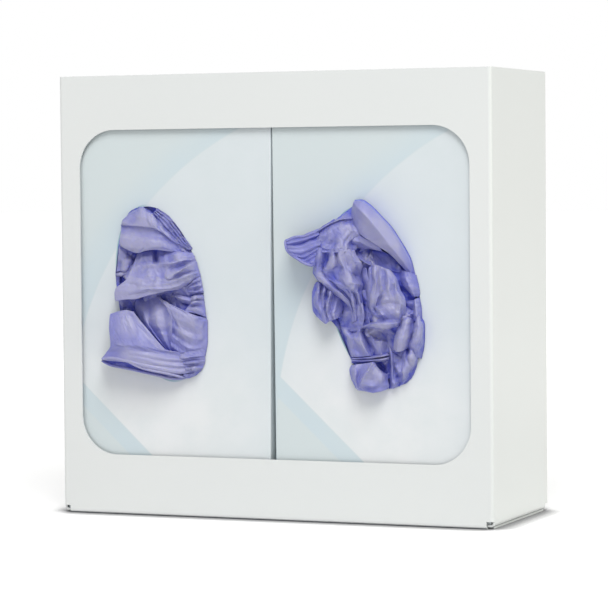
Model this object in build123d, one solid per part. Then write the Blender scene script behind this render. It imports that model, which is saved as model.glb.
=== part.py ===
from build123d import *
from math import cos, degrees, hypot, radians, sin, tan
import os

# Wall-mounted steel dispenser that holds two cartons of disposable gloves side by side.
# Origin: middle of the floor plate's underside. The front faces -Y, +Z is up. Millimetres.

# ---------------------------------------------------------------- driving dimensions

# folded steel housing
housing_width = 265.0
housing_height = 254.0
housing_depth = 98.5
sheet = 1.2
bend_inside = 0.8
return_width = 14.0
side_flange_width = 12.0
rear_lip_height = 12.0

# window in the front panel, by the borders left around it
side_border = 12.75
top_border = 31.3
bottom_border = 34.7
window_corner = 22.0

# reliefs where two bends would meet at a bottom corner
relief_width = 4.2
relief_height = 4.2

# keyholes in the back panel
keyhole_spacing_x = 152.4
keyhole_spacing_z = 152.4
keyhole_centre_height = 132.0
keyhole_entry_radius = 5.0
keyhole_slot_width = 5.0
keyhole_drop = 9.0

# glove cartons
board = 0.6
board_fold_radius = 0.9
loading_headroom = 12.0
side_play = 5.0
front_gap = 1.5
rear_gap = 3.4
end_flap_overlap = 62.0
opening_half_width = 26.5
opening_half_height = 50.8
opening_slant = 13.0

# how the two cartons stand: their tops touch and their feet are apart
seam_x = 0.5
top_gap = 0.2
rest_gap = 0.05
left_lean = 0.58
right_lean = 0.25
left_opening_offset = (-4.4, 5.6)
right_opening_offset = (-3.2, 4.2)

# gloves
stack_play = 0.8
stack_recess = 5.0
fold_layers = 9
fold_shift = 1.6
throat_clearance = 0.6
face_clearance = 0.5
throat_rise = 7.0
throat_dip = 2.5
throat_reach = 0.95
throat_waves = 8
edge_thickness = 1.4
fold_thickness = 9.0
pleat_pitch = 6.0
valley_share = 0.5

# ---------------------------------------------------------------- derived values

bend_mid = bend_inside + sheet / 2
half_width = housing_width / 2
half_depth = housing_depth / 2
front_mid_y = -half_depth + sheet / 2
return_mid_y = half_depth - sheet / 2
side_mid_x = half_width - sheet / 2
panel_front_y = half_depth - 2 * sheet
lip_mid_y = panel_front_y - sheet / 2
flange_edge_x = half_width - side_flange_width
floor_top = sheet
flange_top = 2 * sheet

carton_width = (housing_width - 2 * sheet - side_play) / 2
carton_height = housing_height - loading_headroom
carton_depth = housing_depth - 3 * sheet - front_gap - rear_gap
carton_front_y = -half_depth + sheet + front_gap


# ---------------------------------------------------------------- housing


def folded_strip(plane, corners, start, length):
    """A bent strip of the sheet: its mid-line in a plane, extruded along the plane's normal."""
    mid_line = FilletPolyline(*corners, radius=bend_mid)
    section = plane.offset(start) * trace(mid_line, sheet)
    return extrude(section, amount=length)


def make_front_shell():
    """Front, sides, returns, floor flap and side flanges, folded from one sheet."""
    return_end_x = side_mid_x - return_width + sheet / 2
    walls = folded_strip(
        Plane.XY,
        [
            (return_end_x, return_mid_y),
            (side_mid_x, return_mid_y),
            (side_mid_x, front_mid_y),
            (-side_mid_x, front_mid_y),
            (-side_mid_x, return_mid_y),
            (-return_end_x, return_mid_y),
        ],
        relief_height,
        housing_height - relief_height,
    )

    flap_half = half_width - relief_width
    floor_flap = folded_strip(
        Plane.YZ,
        [
            (front_mid_y, relief_height),
            (front_mid_y, sheet / 2),
            (lip_mid_y - 2 * bend_mid, sheet / 2),
        ],
        -flap_half,
        2 * flap_half,
    )
    floor_front_y = -half_depth + relief_width
    floor_rear_y = lip_mid_y - 2 * bend_mid
    floor_plate = Pos(0, (floor_front_y + floor_rear_y) / 2, sheet / 2) * Box(
        housing_width - 2 * sheet, floor_rear_y - floor_front_y, sheet
    )
    lip_half = flange_edge_x - sheet
    rear_lip = folded_strip(
        Plane.YZ,
        [
            (floor_rear_y - 2 * bend_mid, sheet / 2),
            (lip_mid_y, sheet / 2),
            (lip_mid_y, rear_lip_height),
        ],
        -lip_half,
        2 * lip_half,
    )

    shell = walls + floor_flap + floor_plate + rear_lip
    flange_mid_z = floor_top + sheet / 2
    flange_front_y = -half_depth + bend_inside + sheet
    flange_length = floor_rear_y - flange_front_y
    for side in (-1, 1):
        side_foot = folded_strip(
            Plane.XZ,
            [
                (side * side_mid_x, relief_height),
                (side * side_mid_x, flange_mid_z),
                (side * flange_edge_x, flange_mid_z),
            ],
            -flange_front_y - flange_length,
            flange_length,
        )
        shell += side_foot

    window_width = housing_width - 2 * side_border
    window_height = housing_height - top_border - bottom_border
    window_z = bottom_border + window_height / 2
    window = Plane.XZ * Pos(0, window_z) * RectangleRounded(window_width, window_height, window_corner)
    shell -= Pos(0, -half_depth - sheet, 0) * extrude(window, amount=-3 * sheet)
    return shell


def keyhole_cutter():
    """Round entry for the screw head, with the narrow slot that the shank drops into above it."""
    slot_end = Pos(0, keyhole_drop) * Circle(keyhole_slot_width / 2)
    slot = Pos(0, keyhole_drop / 2) * Rectangle(keyhole_slot_width, keyhole_drop)
    outline = Circle(keyhole_entry_radius) + slot + slot_end
    return extrude(Plane.XZ * outline, amount=2 * sheet, both=True)


def make_back_panel():
    """Flat back that lies inside the housing's return flanges."""
    panel_width = housing_width - 2 * sheet - 2 * bend_inside
    panel_bottom = flange_top
    panel_height = housing_height - panel_bottom
    panel = Pos(0, panel_front_y + sheet / 2, panel_bottom + panel_height / 2) * Box(
        panel_width, sheet, panel_height
    )
    for x in (-keyhole_spacing_x / 2, keyhole_spacing_x / 2):
        for dz in (-keyhole_spacing_z / 2, keyhole_spacing_z / 2):
            panel -= Pos(x, panel_front_y, keyhole_centre_height + dz) * keyhole_cutter()
    return panel


# ---------------------------------------------------------------- cartons


def carton_place(side, lean):
    """Place of a carton's inner bottom front corner, leaning on its neighbour's top edge.

    side is -1 for the left carton and 1 for the right one. The corner stands on the floor plate,
    or higher where the carton's outer half already rides on the side flange.
    """
    corner_x = seam_x + side * (top_gap / 2 + carton_height * sin(radians(lean)))
    reach = flange_edge_x - side * corner_x
    on_floor = floor_top + rest_gap
    on_flange = flange_top + rest_gap - reach * tan(radians(lean))
    return Pos(corner_x, carton_front_y, max(on_floor, on_flange)) * Rot(0, -side * lean, 0)


def opening_centre(side, offset):
    """Centre of the oval opening, from the carton's inner bottom front corner."""
    return side * carton_width / 2 + offset[0], carton_height / 2 + offset[1]


def opening_oval(side, offset, clearance):
    """The slanting oval of the die-cut opening, or a smaller one inside it."""
    x, z = opening_centre(side, offset)
    oval = Ellipse(opening_half_width - clearance, opening_half_height - clearance)
    return Plane.XZ * Pos(x, z) * Rot(0, 0, opening_slant) * oval


def make_carton(side, offset):
    """Board carton: four walls, end flaps glued over each other, oval opening in the front."""
    middle = Pos(side * carton_width / 2, carton_depth / 2, carton_height / 2)
    carton = middle * Box(carton_width, carton_depth, carton_height)
    carton = fillet(carton.edges().filter_by(Axis.Z), board_fold_radius)
    carton -= middle * Box(
        carton_width - 2 * board, carton_depth - 2 * board, carton_height - 4 * board
    )
    step_depth = carton_depth - end_flap_overlap
    for end_z in (board / 2, carton_height - board / 2):
        step_place = Pos(side * carton_width / 2, carton_depth - step_depth / 2, end_z)
        carton -= step_place * Box(2 * carton_width, step_depth, board)
    cutter = extrude(opening_oval(side, offset, 0), amount=2 * board, both=True)
    return carton - cutter


# ---------------------------------------------------------------- gloves


def make_glove_stack(side):
    """Pile of interfolded gloves: flat layers, each shifted sideways against the next."""
    layer_width = carton_width - 2 * board - 2 * stack_play - fold_shift
    layer_height = carton_height - 4 * board - 2 * stack_play - 2 * rest_gap
    front_y = board + stack_recess
    layer = (carton_depth - board - stack_play - front_y) / fold_layers
    bottom_z = 2 * board + rest_gap
    stack = None
    for index in range(fold_layers):
        shift = fold_shift / 2 if index % 2 else -fold_shift / 2
        folded = Pos(
            side * carton_width / 2 + shift,
            front_y + (index + 0.5) * layer,
            bottom_z + layer_height / 2,
        ) * Box(layer_width, layer, layer_height)
        stack = folded if stack is None else stack + folded
    return stack


def fold_section(centre, across, half, crest, foot, pleats):
    """Closed pleated outline of a fold: ridges and valleys on the front, flat at the back."""
    x, z = centre
    steps = 2 * pleats
    front = []
    for index in range(steps + 1):
        share = 2 * index / steps - 1
        swell = 1 - share * share
        pleat = 1.0 if index % 2 else valley_share
        rise = edge_thickness + (crest - foot - edge_thickness) * max(swell, 0) ** 0.5 * pleat
        front.append((x + across[0] * half * share, -(foot + rise), z + across[1] * half * share))
    back = [
        (x + across[0] * half, -foot, z + across[1] * half),
        (x - across[0] * half, -foot, z - across[1] * half),
    ]
    return Wire.make_polygon(front + back, close=True)


def make_fold(stations):
    """One fold of glove film, lofted along its run, with as many pleats as fit its width.

    Each station is (x, crest, z, half width) from the opening's centre, where crest is how far
    the fold stands out from the carton's face.
    """
    widest = 2 * max(station[3] for station in stations)
    pleats = max(2, round(widest / pleat_pitch))
    sections = []
    for index, (x, crest, z, half) in enumerate(stations):
        before = stations[max(index - 1, 0)]
        after = stations[min(index + 1, len(stations) - 1)]
        run = (after[0] - before[0], after[2] - before[2])
        size = hypot(*run)
        across = (-run[1] / size, run[0] / size)
        foot = max(face_clearance, crest - fold_thickness)
        sections.append(fold_section((x, z), across, half, crest, foot, pleats))
    return Solid.make_loft(sections, ruled=True)


left_folds = {
    "crown": [(-21.5, 4, 43, 3), (-9.5, 9, 46, 6), (2.5, 9, 40, 5.5), (11.5, 6, 32.5, 4), (18, 2, 26.5, 2)],
    "roll": [
        (-21, 8, 33.5, 6), (-9.5, 11, 32.5, 8), (0.5, 11, 32, 7), (8.5, 7, 28.5, 4.5), (19.5, 2, 24.5, 2),
    ],
    "inner": [(-23.5, 3, 26, 4), (-23, 4, 19, 5.5), (-24, 3, 13.5, 3.5)],
    "sweep": [(-13.5, 7, 18, 5.5), (-2.5, 9, 19, 7), (8.5, 8, 20.5, 6.5), (21.5, 2, 22, 3)],
    "long": [
        (-20.5, 13, 3.5, 5.5), (-10.5, 14, 6, 8), (-1, 13, 7, 8), (11, 11, 10, 6.5), (24, 2, 15.5, 3.5),
    ],
    "palm": [(-6.5, 3, -2, 5), (-3, 6, -10, 8.5), (1.5, 8, -18, 10), (6, 7, -26.5, 7), (8.5, 4, -33, 3.5)],
    "panel": [(13, 7, -4, 3), (20, 8, -11.5, 9), (21, 7, -21.5, 10.5), (20, 5, -31, 9.5)],
    "cuff": [(-28, 17, -26, 10.5), (-19.5, 19, -24.5, 15), (-8, 19, -25.5, 15.5), (1, 16, -31, 11)],
    "hem": [(1, 16, -31, 11), (10, 12, -37, 8.5), (19, 8, -40, 7.5), (26.5, 2, -39.5, 4.5)],
}

right_folds = {
    "fan": [
        (-45, 20, 32, 2), (-37, 19, 30, 6), (-29, 18, 30.5, 9.5), (-20, 17, 33.5, 11), (-7.5, 11, 38.5, 9),
    ],
    "hand": [
        (-18, 17, 29.5, 9), (-16, 18, 23.5, 12), (-14.5, 17, 17, 12.5), (-11, 16, 8.5, 9.5),
        (-8.5, 12, 1, 4.5),
    ],
    "leaf": [
        (-7.5, 11, 52, 3.5), (-0.5, 13, 47.5, 7), (8.5, 14, 38, 8), (15.5, 10, 26.5, 6.5),
        (22.5, 2, 14, 2),
    ],
    "hollow": [(-8.5, 10, 31.5, 4.5), (-1.5, 8, 29, 6.5), (7.5, 5, 23.5, 7), (14.5, 2, 18.5, 4)],
    "middle": [
        (7.5, 9, 18.5, 6.5), (10, 13, 10.5, 9.5), (12, 15, 2.5, 11), (12, 14, -6, 11), (9, 11, -15, 9.5),
    ],
    "strip": [(18.5, 4, 15.5, 3.5), (22.5, 6, 9.5, 4), (24, 2, 2.5, 2)],
    "lobe": [(-26, 9, 8, 6.5), (-24.5, 13, 2, 9), (-24.5, 14, -5, 8.5), (-25, 10, -11.5, 5.5)],
    "wrist": [(-10.5, 8, -1.5, 5.5), (-11, 9, -9, 7), (-11.5, 5, -17, 5.5)],
    "gusset": [(-8.5, 6, -17.5, 10), (-5.5, 7, -24.5, 12), (-1.5, 7, -32, 11)],
    "flap": [(-1.5, 13, -35, 8), (2, 16, -40.5, 11), (1.5, 13, -48, 9)],
    "finger": [(22.5, 8, -10, 4), (22, 12, -18.5, 5.5), (18.5, 9, -28, 4.5)],
    "outer_finger": [(26.5, 4, -8.5, 2), (30, 10, -15, 4), (29, 10, -24, 4), (25.5, 4, -31.5, 3)],
    "thumb": [(16.5, 5, -26.5, 7), (18, 7, -34.5, 8.5), (16, 4, -43.5, 6)],
}


def throat_stations():
    """Stations of the gathered film that fills the oval, along its slanted long axis."""
    half_run = opening_half_height - throat_clearance
    half_wide = opening_half_width - throat_clearance
    slant = radians(opening_slant)
    stations = []
    for index in range(throat_waves + 1):
        share = throat_reach * (2 * index / throat_waves - 1)
        crest = throat_rise if index % 2 else throat_rise - throat_dip
        half = half_wide * (1 - share * share) ** 0.5
        stations.append((-sin(slant) * half_run * share, crest, cos(slant) * half_run * share, half))
    return stations


def make_pulled_glove(side, offset, folds):
    """Glove drawn out of the opening: a gathered throat in the oval, and the folds lying on it."""
    x, z = opening_centre(side, offset)
    throat_outline = opening_oval(side, offset, throat_clearance)
    glove = extrude(throat_outline, amount=face_clearance + edge_thickness / 2)
    glove += extrude(throat_outline, amount=-(board + stack_recess - rest_gap))
    glove += Pos(x, 0, z) * make_fold(throat_stations())
    for stations in folds.values():
        glove += Pos(x, 0, z) * make_fold(stations)
    return glove


# ---------------------------------------------------------------- write the pieces

os.makedirs("parts", exist_ok=True)
left_place = carton_place(-1, left_lean)
right_place = carton_place(1, right_lean)

pieces = {
    "front_shell": make_front_shell(),
    "back_panel": make_back_panel(),
    "left_carton": left_place * make_carton(-1, left_opening_offset),
    "right_carton": right_place * make_carton(1, right_opening_offset),
    "left_glove_stack": left_place * make_glove_stack(-1),
    "right_glove_stack": right_place * make_glove_stack(1),
    "left_pulled_glove": left_place * make_pulled_glove(-1, left_opening_offset, left_folds),
    "right_pulled_glove": right_place * make_pulled_glove(1, right_opening_offset, right_folds),
}

for name, shape in pieces.items():
    export_step(shape, f"parts/{name}.step")
    print(name, "solids", len(shape.solids()), "volume", round(shape.volume, 1))
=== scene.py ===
# %% [markdown]
# # A wall dispenser for disposable gloves
#
# A folded steel housing holds two cartons of gloves side by side, and a crumpled glove hangs out of the oval
# opening of each carton. The steel and the cartons come from a CAD model and keep their shapes: they only get a
# finish here. The soft things, which are the gloves and the piles of gloves, are made new as thin film surfaces.
# Everything is in metres, +Z is up, the front faces -Y, and the floor is at z = 0.

# %% Load the CAD model
import math

import bpy
import numpy as np
from mathutils import Matrix, Vector


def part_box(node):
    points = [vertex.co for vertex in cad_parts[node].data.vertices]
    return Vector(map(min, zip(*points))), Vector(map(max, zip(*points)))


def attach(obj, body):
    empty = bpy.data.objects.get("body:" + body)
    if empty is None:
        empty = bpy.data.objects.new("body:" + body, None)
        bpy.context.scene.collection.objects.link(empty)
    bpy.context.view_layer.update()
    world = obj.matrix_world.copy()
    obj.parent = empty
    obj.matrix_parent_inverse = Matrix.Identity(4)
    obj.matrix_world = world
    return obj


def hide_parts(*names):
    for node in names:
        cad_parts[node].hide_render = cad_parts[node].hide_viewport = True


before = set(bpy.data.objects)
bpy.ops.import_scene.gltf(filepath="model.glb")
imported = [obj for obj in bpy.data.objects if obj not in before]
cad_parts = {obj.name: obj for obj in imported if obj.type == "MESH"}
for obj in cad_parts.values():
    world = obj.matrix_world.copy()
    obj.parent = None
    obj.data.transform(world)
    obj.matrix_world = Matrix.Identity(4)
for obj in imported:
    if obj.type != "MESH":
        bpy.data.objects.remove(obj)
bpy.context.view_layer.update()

MM = 0.001

# %% [markdown]
# ## The eye
#
# The camera comes first, because the folds of the gloves are laid out as they are seen from it. A camera is a
# place, a direction and a lens. Here the place and the three turns are given, and the lens is the distance from the
# eye to a picture that is `view_size` points wide. A point of that picture is called a view point: x to the right
# and y downwards from the picture's top left corner.

# %% Place, turn and lens of the main view
view_size = 608
view_focus = 2823.2
view_place = np.array([632.245, -1513.587, 195.548]) * MM
view_azimuth = math.radians(22.663)
view_height = math.radians(2.609)
view_roll = math.radians(-0.509)


def view_axes():
    """Right, up and forward of the eye: a level pair square to the line of sight, then turned about it by the roll."""
    forward = -np.array(
        [
            math.sin(view_azimuth) * math.cos(view_height),
            -math.cos(view_azimuth) * math.cos(view_height),
            math.sin(view_height),
        ]
    )
    level = np.cross(forward, [0.0, 0.0, 1.0])
    level /= np.linalg.norm(level)
    upright = np.cross(level, forward)
    right = math.cos(view_roll) * level + math.sin(view_roll) * upright
    up = -math.sin(view_roll) * level + math.cos(view_roll) * upright
    return right, up, forward


view_right, view_up, view_forward = view_axes()

# %% The camera
eye_data = bpy.data.cameras.new("eye")
eye_data.sensor_width = 36.0
eye_data.lens = eye_data.sensor_width * view_focus / view_size
eye_data.clip_start = 0.05
eye_data.clip_end = 50.0
eye = bpy.data.objects.new("eye", eye_data)
eye.matrix_world = Matrix(
    [[*row, place] for row, place in zip(np.array([view_right, view_up, -view_forward]).T, view_place)]
    + [[0, 0, 0, 1]]
)
bpy.context.scene.collection.objects.link(eye)
bpy.context.scene.camera = eye
print("lens, mm:", round(eye_data.lens, 1))

# %% [markdown]
# ## Finishes as nodes
#
# A finish is a small network of nodes that ends in the Principled shader. The helper below keeps the network
# readable: each input is given either a value or the output of another node. Patterns read Object coordinates,
# which are plain metres here, so a bump of half a millimetre is half a millimetre on every piece.


# %% A helper for finishes
class Finish:
    """A material being made: its shader, and short ways to add nodes and feed them."""

    def __init__(self, name):
        """A new material with a shader, read in the object's own coordinates."""
        self.material = bpy.data.materials.new(name)
        self.material.use_nodes = True
        self.shader = self.material.node_tree.nodes["Principled BSDF"]
        self.place = self.add("TexCoord").outputs["Object"]

    def feed(self, node, values):
        """Gives each named input a value, or a link from the output that is given for it."""
        for name, value in values.items():
            socket = node.inputs[name]
            if isinstance(value, bpy.types.NodeSocket):
                self.material.node_tree.links.new(value, socket)
            else:
                socket.default_value = value
        return node

    def add(self, kind, values=None, **settings):
        """A new node of a kind, with its settings made and its values fed."""
        node = self.material.node_tree.nodes.new("ShaderNode" + kind)
        for name, value in settings.items():
            setattr(node, name, value)
        return self.feed(node, values or {})

    def maths(self, operation, *values):
        """One sum: the operation on one, two or three numbers or outputs."""
        return self.add("Math", dict(enumerate(values)), operation=operation).outputs[0]

    def noise(self, per_metre, detail=2.0, roughness=0.5):
        """Soft random value from 0 to 1 with so many waves in a metre."""
        values = {"Vector": self.place, "Scale": per_metre, "Detail": detail, "Roughness": roughness}
        return self.add("TexNoise", values).outputs["Fac"]

    def ramp(self, value, low, high, start=0.0, end=1.0):
        """Smooth step: start where the value is low, end where it is high."""
        values = {"Value": value, "From Min": low, "From Max": high, "To Min": start, "To Max": end}
        return self.add("MapRange", values, interpolation_type="SMOOTHSTEP").outputs["Result"]

    def blend(self, share, first, second):
        """Colour between two others, by the share of the second."""
        return self.add("Mix", {0: share, 6: first, 7: second}, data_type="RGBA").outputs[2]

    def bump(self, height, millimetres, strength=1.0, under=None):
        """Shading bump whose height goes from 0 to 1 over so many millimetres."""
        values = {"Height": height, "Distance": millimetres * MM, "Strength": strength}
        if under is not None:
            values["Normal"] = under
        return self.add("Bump", values).outputs["Normal"]


def paint(name, material):
    """Puts one material on a CAD piece in place of its plain one."""
    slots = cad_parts[name].data.materials
    slots.clear()
    slots.append(material)


# %% [markdown]
# ## Floor and light
#
# The object stands on a white floor in an even white studio. The floor gives back light as white paper does, and
# only for the eye and for reflections a little of its own white is added, so that the floor turns fully white
# around the object while the soft shadow under it stays. Less is added close to the object than far away, where no
# lamp reaches the floor. Next to its lower edges, where ambient occlusion finds the floor closed in, less or no white
# is added and its colour for the eye is painted dark: a painted contact shadow, as in a narrow gap, on top of the
# real shadow. The world lights everything at a little under half strength, and the eye and reflections see it at
# full strength. One large lamp high at the right of the eye makes the shadows that fall to the lower left, and a
# second one at the right lights the side of the housing and draws the bright line down its rounded edge.

# %% Floor
floor_half = 12.0
floor_mesh = bpy.data.meshes.new("floor")
floor_corners = [(-1, -1), (1, -1), (1, 1), (-1, 1)]
floor_mesh.from_pydata([(floor_half * x, floor_half * y, 0) for x, y in floor_corners], [], [(0, 1, 2, 3)])
floor = bpy.data.objects.new("floor", floor_mesh)
bpy.context.scene.collection.objects.link(floor)

floor_finish = Finish("white floor")
floor_white = (0.88, 0.88, 0.88, 1.0)
# Painted contact shadow: the floor's colour for the eye next to the object's lower edges.
floor_painted_contact_shadow = (0.30, 0.30, 0.31, 1.0)
near_glow = 0.34
far_glow = 0.65
contact_reach = 0.019
close = floor_finish.add("AmbientOcclusion", {"Distance": contact_reach}, samples=8).outputs["AO"]
rays = floor_finish.add("LightPath").outputs
seen = floor_finish.maths(
    "MAXIMUM",
    rays["Is Camera Ray"],
    floor_finish.maths("MAXIMUM", rays["Is Glossy Ray"], rays["Is Transmission Ray"]),
)
unseen = floor_finish.maths("SUBTRACT", 1.0, seen)
open_floor = floor_finish.maths("MAXIMUM", floor_finish.ramp(close, 0.55, 1.0), unseen)
floor_tone = floor_finish.blend(open_floor, floor_painted_contact_shadow, floor_white)
floor_finish.feed(floor_finish.shader, {"Base Color": floor_tone, "Roughness": 0.9, "Specular IOR Level": 0.1})
away = floor_finish.add("VectorMath", {0: floor_finish.place}, operation="LENGTH").outputs["Value"]
# Less white close to the object, and none where the floor is closed in next to its lower edges, which deepens the
# painted contact shadow.
added = floor_finish.maths(
    "MULTIPLY", floor_finish.ramp(away, 0.3, 1.4, near_glow, far_glow), floor_finish.ramp(close, 0.5, 0.95, 0.0, 1.0)
)
glow = floor_finish.add("Emission", {"Strength": floor_finish.maths("MULTIPLY", seen, added)})
both = floor_finish.add("AddShader", {0: floor_finish.shader.outputs[0], 1: glow.outputs[0]})
floor_output = floor_finish.material.node_tree.nodes["Material Output"]
floor_finish.feed(floor_output, {"Surface": both.outputs[0]})
floor_mesh.materials.append(floor_finish.material)

# %% World
world_light = 0.44
world = bpy.data.worlds.new("white studio")
world.use_nodes = True
bpy.context.scene.world = world
tree = world.node_tree
background = tree.nodes["Background"]
background.inputs["Color"].default_value = (1.0, 1.0, 1.0, 1.0)
path = tree.nodes.new("ShaderNodeLightPath")
seen_either = tree.nodes.new("ShaderNodeMath")
seen_either.operation = "MAXIMUM"
seen_any = tree.nodes.new("ShaderNodeMath")
seen_any.operation = "MAXIMUM"
tree.links.new(path.outputs["Is Glossy Ray"], seen_either.inputs[0])
tree.links.new(path.outputs["Is Transmission Ray"], seen_either.inputs[1])
tree.links.new(path.outputs["Is Camera Ray"], seen_any.inputs[0])
tree.links.new(seen_either.outputs[0], seen_any.inputs[1])
strength = tree.nodes.new("ShaderNodeMapRange")
strength.inputs["To Min"].default_value = world_light
strength.inputs["To Max"].default_value = 1.0
tree.links.new(seen_any.outputs[0], strength.inputs["Value"])
tree.links.new(strength.outputs["Result"], background.inputs["Strength"])

# %% Lamps
object_middle = Vector((0.0, 0.0, 0.125))


def soft_lamp(name, direction, distance, side, watts, colour):
    """Square lamp that looks at the middle of the object from the given direction."""
    data = bpy.data.lights.new(name, "AREA")
    data.shape = "SQUARE"
    data.size = side
    data.energy = watts
    data.color = colour
    lamp = bpy.data.objects.new(name, data)
    towards = Vector(direction).normalized()
    lamp.location = object_middle + towards * distance
    lamp.rotation_euler = towards.to_track_quat("Z", "Y").to_euler()
    bpy.context.scene.collection.objects.link(lamp)
    return lamp


soft_lamp("high lamp", (0.45, -1.0, 1.3), 3.2, 1.6, 65.0, (1.0, 0.995, 0.985))
soft_lamp("side lamp", (1.0, -0.05, 0.25), 1.8, 0.9, 4.5, (0.98, 1.0, 0.80))

# %% [markdown]
# ## White powder coat
#
# The housing is sheet steel with a baked powder coat. Such a coat is glossy but never quite flat: it sets in a fine
# orange peel, waves about a millimetre long and a few micrometres high, with a finer grain in them. Two bumps made
# of noise give both, and a slow noise changes the white and the gloss a little over the sheet. Gaps of a few
# millimetres, such as the slits at the corners, get painted shade: ambient occlusion darkens their colour beyond
# what the lamps give.

# %% Powder coat on the housing and its back
coat = Finish("white powder coat")
coat_white = (0.765, 0.785, 0.777, 1.0)
coat_shade = (0.755, 0.778, 0.772, 1.0)
# Painted shade in narrow gaps: the coat's colour turns dark where ambient occlusion finds it closed in.
coat_painted_gap_shade = (0.10, 0.11, 0.13, 1.0)
coat_gap_reach = 0.005
coat_tone = coat.blend(coat.ramp(coat.noise(9.0, 0.0), 0.3, 0.7), coat_white, coat_shade)
painted_gap_shade_share = coat.ramp(coat.add("AmbientOcclusion", {"Distance": coat_gap_reach}, samples=8).outputs["AO"], 0.1, 0.42)
peel = coat.bump(coat.noise(620.0, 2.0), 0.05, 0.03)
grain = coat.bump(coat.noise(2600.0, 3.0), 0.012, 0.08, under=peel)
coat.feed(
    coat.shader,
    {
        "Base Color": coat.blend(painted_gap_shade_share, coat_painted_gap_shade, coat_tone),
        "Roughness": coat.ramp(coat.noise(30.0, 0.0), 0.3, 0.7, 0.29, 0.32),
        "Normal": grain,
        "Coat Weight": 0.25,
        "Coat Roughness": 0.12,
    },
)
for name in ("front_shell", "back_panel"):
    paint(name, coat.material)
    print(name, "is powder coated")

# %% [markdown]
# ## Printed carton board
#
# The cartons are folded from thin white board with a coated pale blue-grey print. The print is a plain one: a pale
# field bounded by one wide soft band that curves across the top left and a narrow straight one at the lower left.
# Such a print follows the flat front, so it is drawn by distance: how far a place is from a circle's centre, or
# from a line, says on which side of an edge it lies. The die-cut oval has a thin blue-green line around it, worked
# out from the oval's own slanted axes in the same way. The field is also painted paler around a point low in the
# middle of each carton: a painted pool of light.

# %% Where the openings and the prints are
carton_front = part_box("left_carton")[0].y
opening_half = (26.5 * MM, 50.8 * MM)
openings = {
    "left": {"middle": (-69.58 * MM, 128.54 * MM), "slant": math.radians(12.42)},
    "right": {"middle": (62.31 * MM, 127.40 * MM), "slant": math.radians(13.25)},
}
carton_edge = {side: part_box(side + "_carton")[0].x for side in openings}
print("carton front, mm:", round(carton_front / MM, 2), "left edges:", carton_edge)

wide_band_inner = (193.7 * MM, 48.5 * MM, 192.4 * MM)
wide_band_outer = (262.0 * MM, -41.0 * MM, 315.7 * MM)
narrow_band_point = (7.4 * MM, 78.6 * MM)
narrow_band_normal = (-0.682, -0.731)
narrow_band_width = 9.6 * MM


# %% Board finish
def beyond_circle(finish, circle, edge_x):
    """Distance outside a circle on the carton's front, less than zero inside it."""
    flat = finish.add("VectorMath", {0: finish.place, 1: (1.0, 0.0, 1.0)}, operation="MULTIPLY").outputs[0]
    centre = (edge_x + circle[0], 0.0, circle[1])
    away = finish.add("VectorMath", {0: flat, 1: centre}, operation="DISTANCE").outputs["Value"]
    return finish.maths("SUBTRACT", away, circle[2])


def beyond_line(finish, point, normal, edge_x):
    """Distance past a straight line on the carton's front, along the line's normal."""
    parts = finish.add("SeparateXYZ", {"Vector": finish.place}).outputs
    across = finish.maths("MULTIPLY", finish.maths("SUBTRACT", parts["X"], edge_x + point[0]), normal[0])
    rise = finish.maths("MULTIPLY", finish.maths("SUBTRACT", parts["Z"], point[1]), normal[1])
    return finish.maths("ADD", across, rise)


def oval_share(finish, opening):
    """Place along the opening's short axis, and 1 on its oval, less inside and more outside."""
    parts = finish.add("SeparateXYZ", {"Vector": finish.place}).outputs
    turned, middle = opening["slant"], opening["middle"]
    right = finish.maths("SUBTRACT", parts["X"], middle[0])
    up = finish.maths("SUBTRACT", parts["Z"], middle[1])
    short = finish.maths(
        "ADD",
        finish.maths("MULTIPLY", right, math.cos(turned) / opening_half[0]),
        finish.maths("MULTIPLY", up, math.sin(turned) / opening_half[0]),
    )
    long = finish.maths(
        "ADD",
        finish.maths("MULTIPLY", right, -math.sin(turned) / opening_half[1]),
        finish.maths("MULTIPLY", up, math.cos(turned) / opening_half[1]),
    )
    square = finish.maths("ADD", finish.maths("MULTIPLY", short, short), finish.maths("MULTIPLY", long, long))
    return short, finish.maths("SQRT", square)


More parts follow.
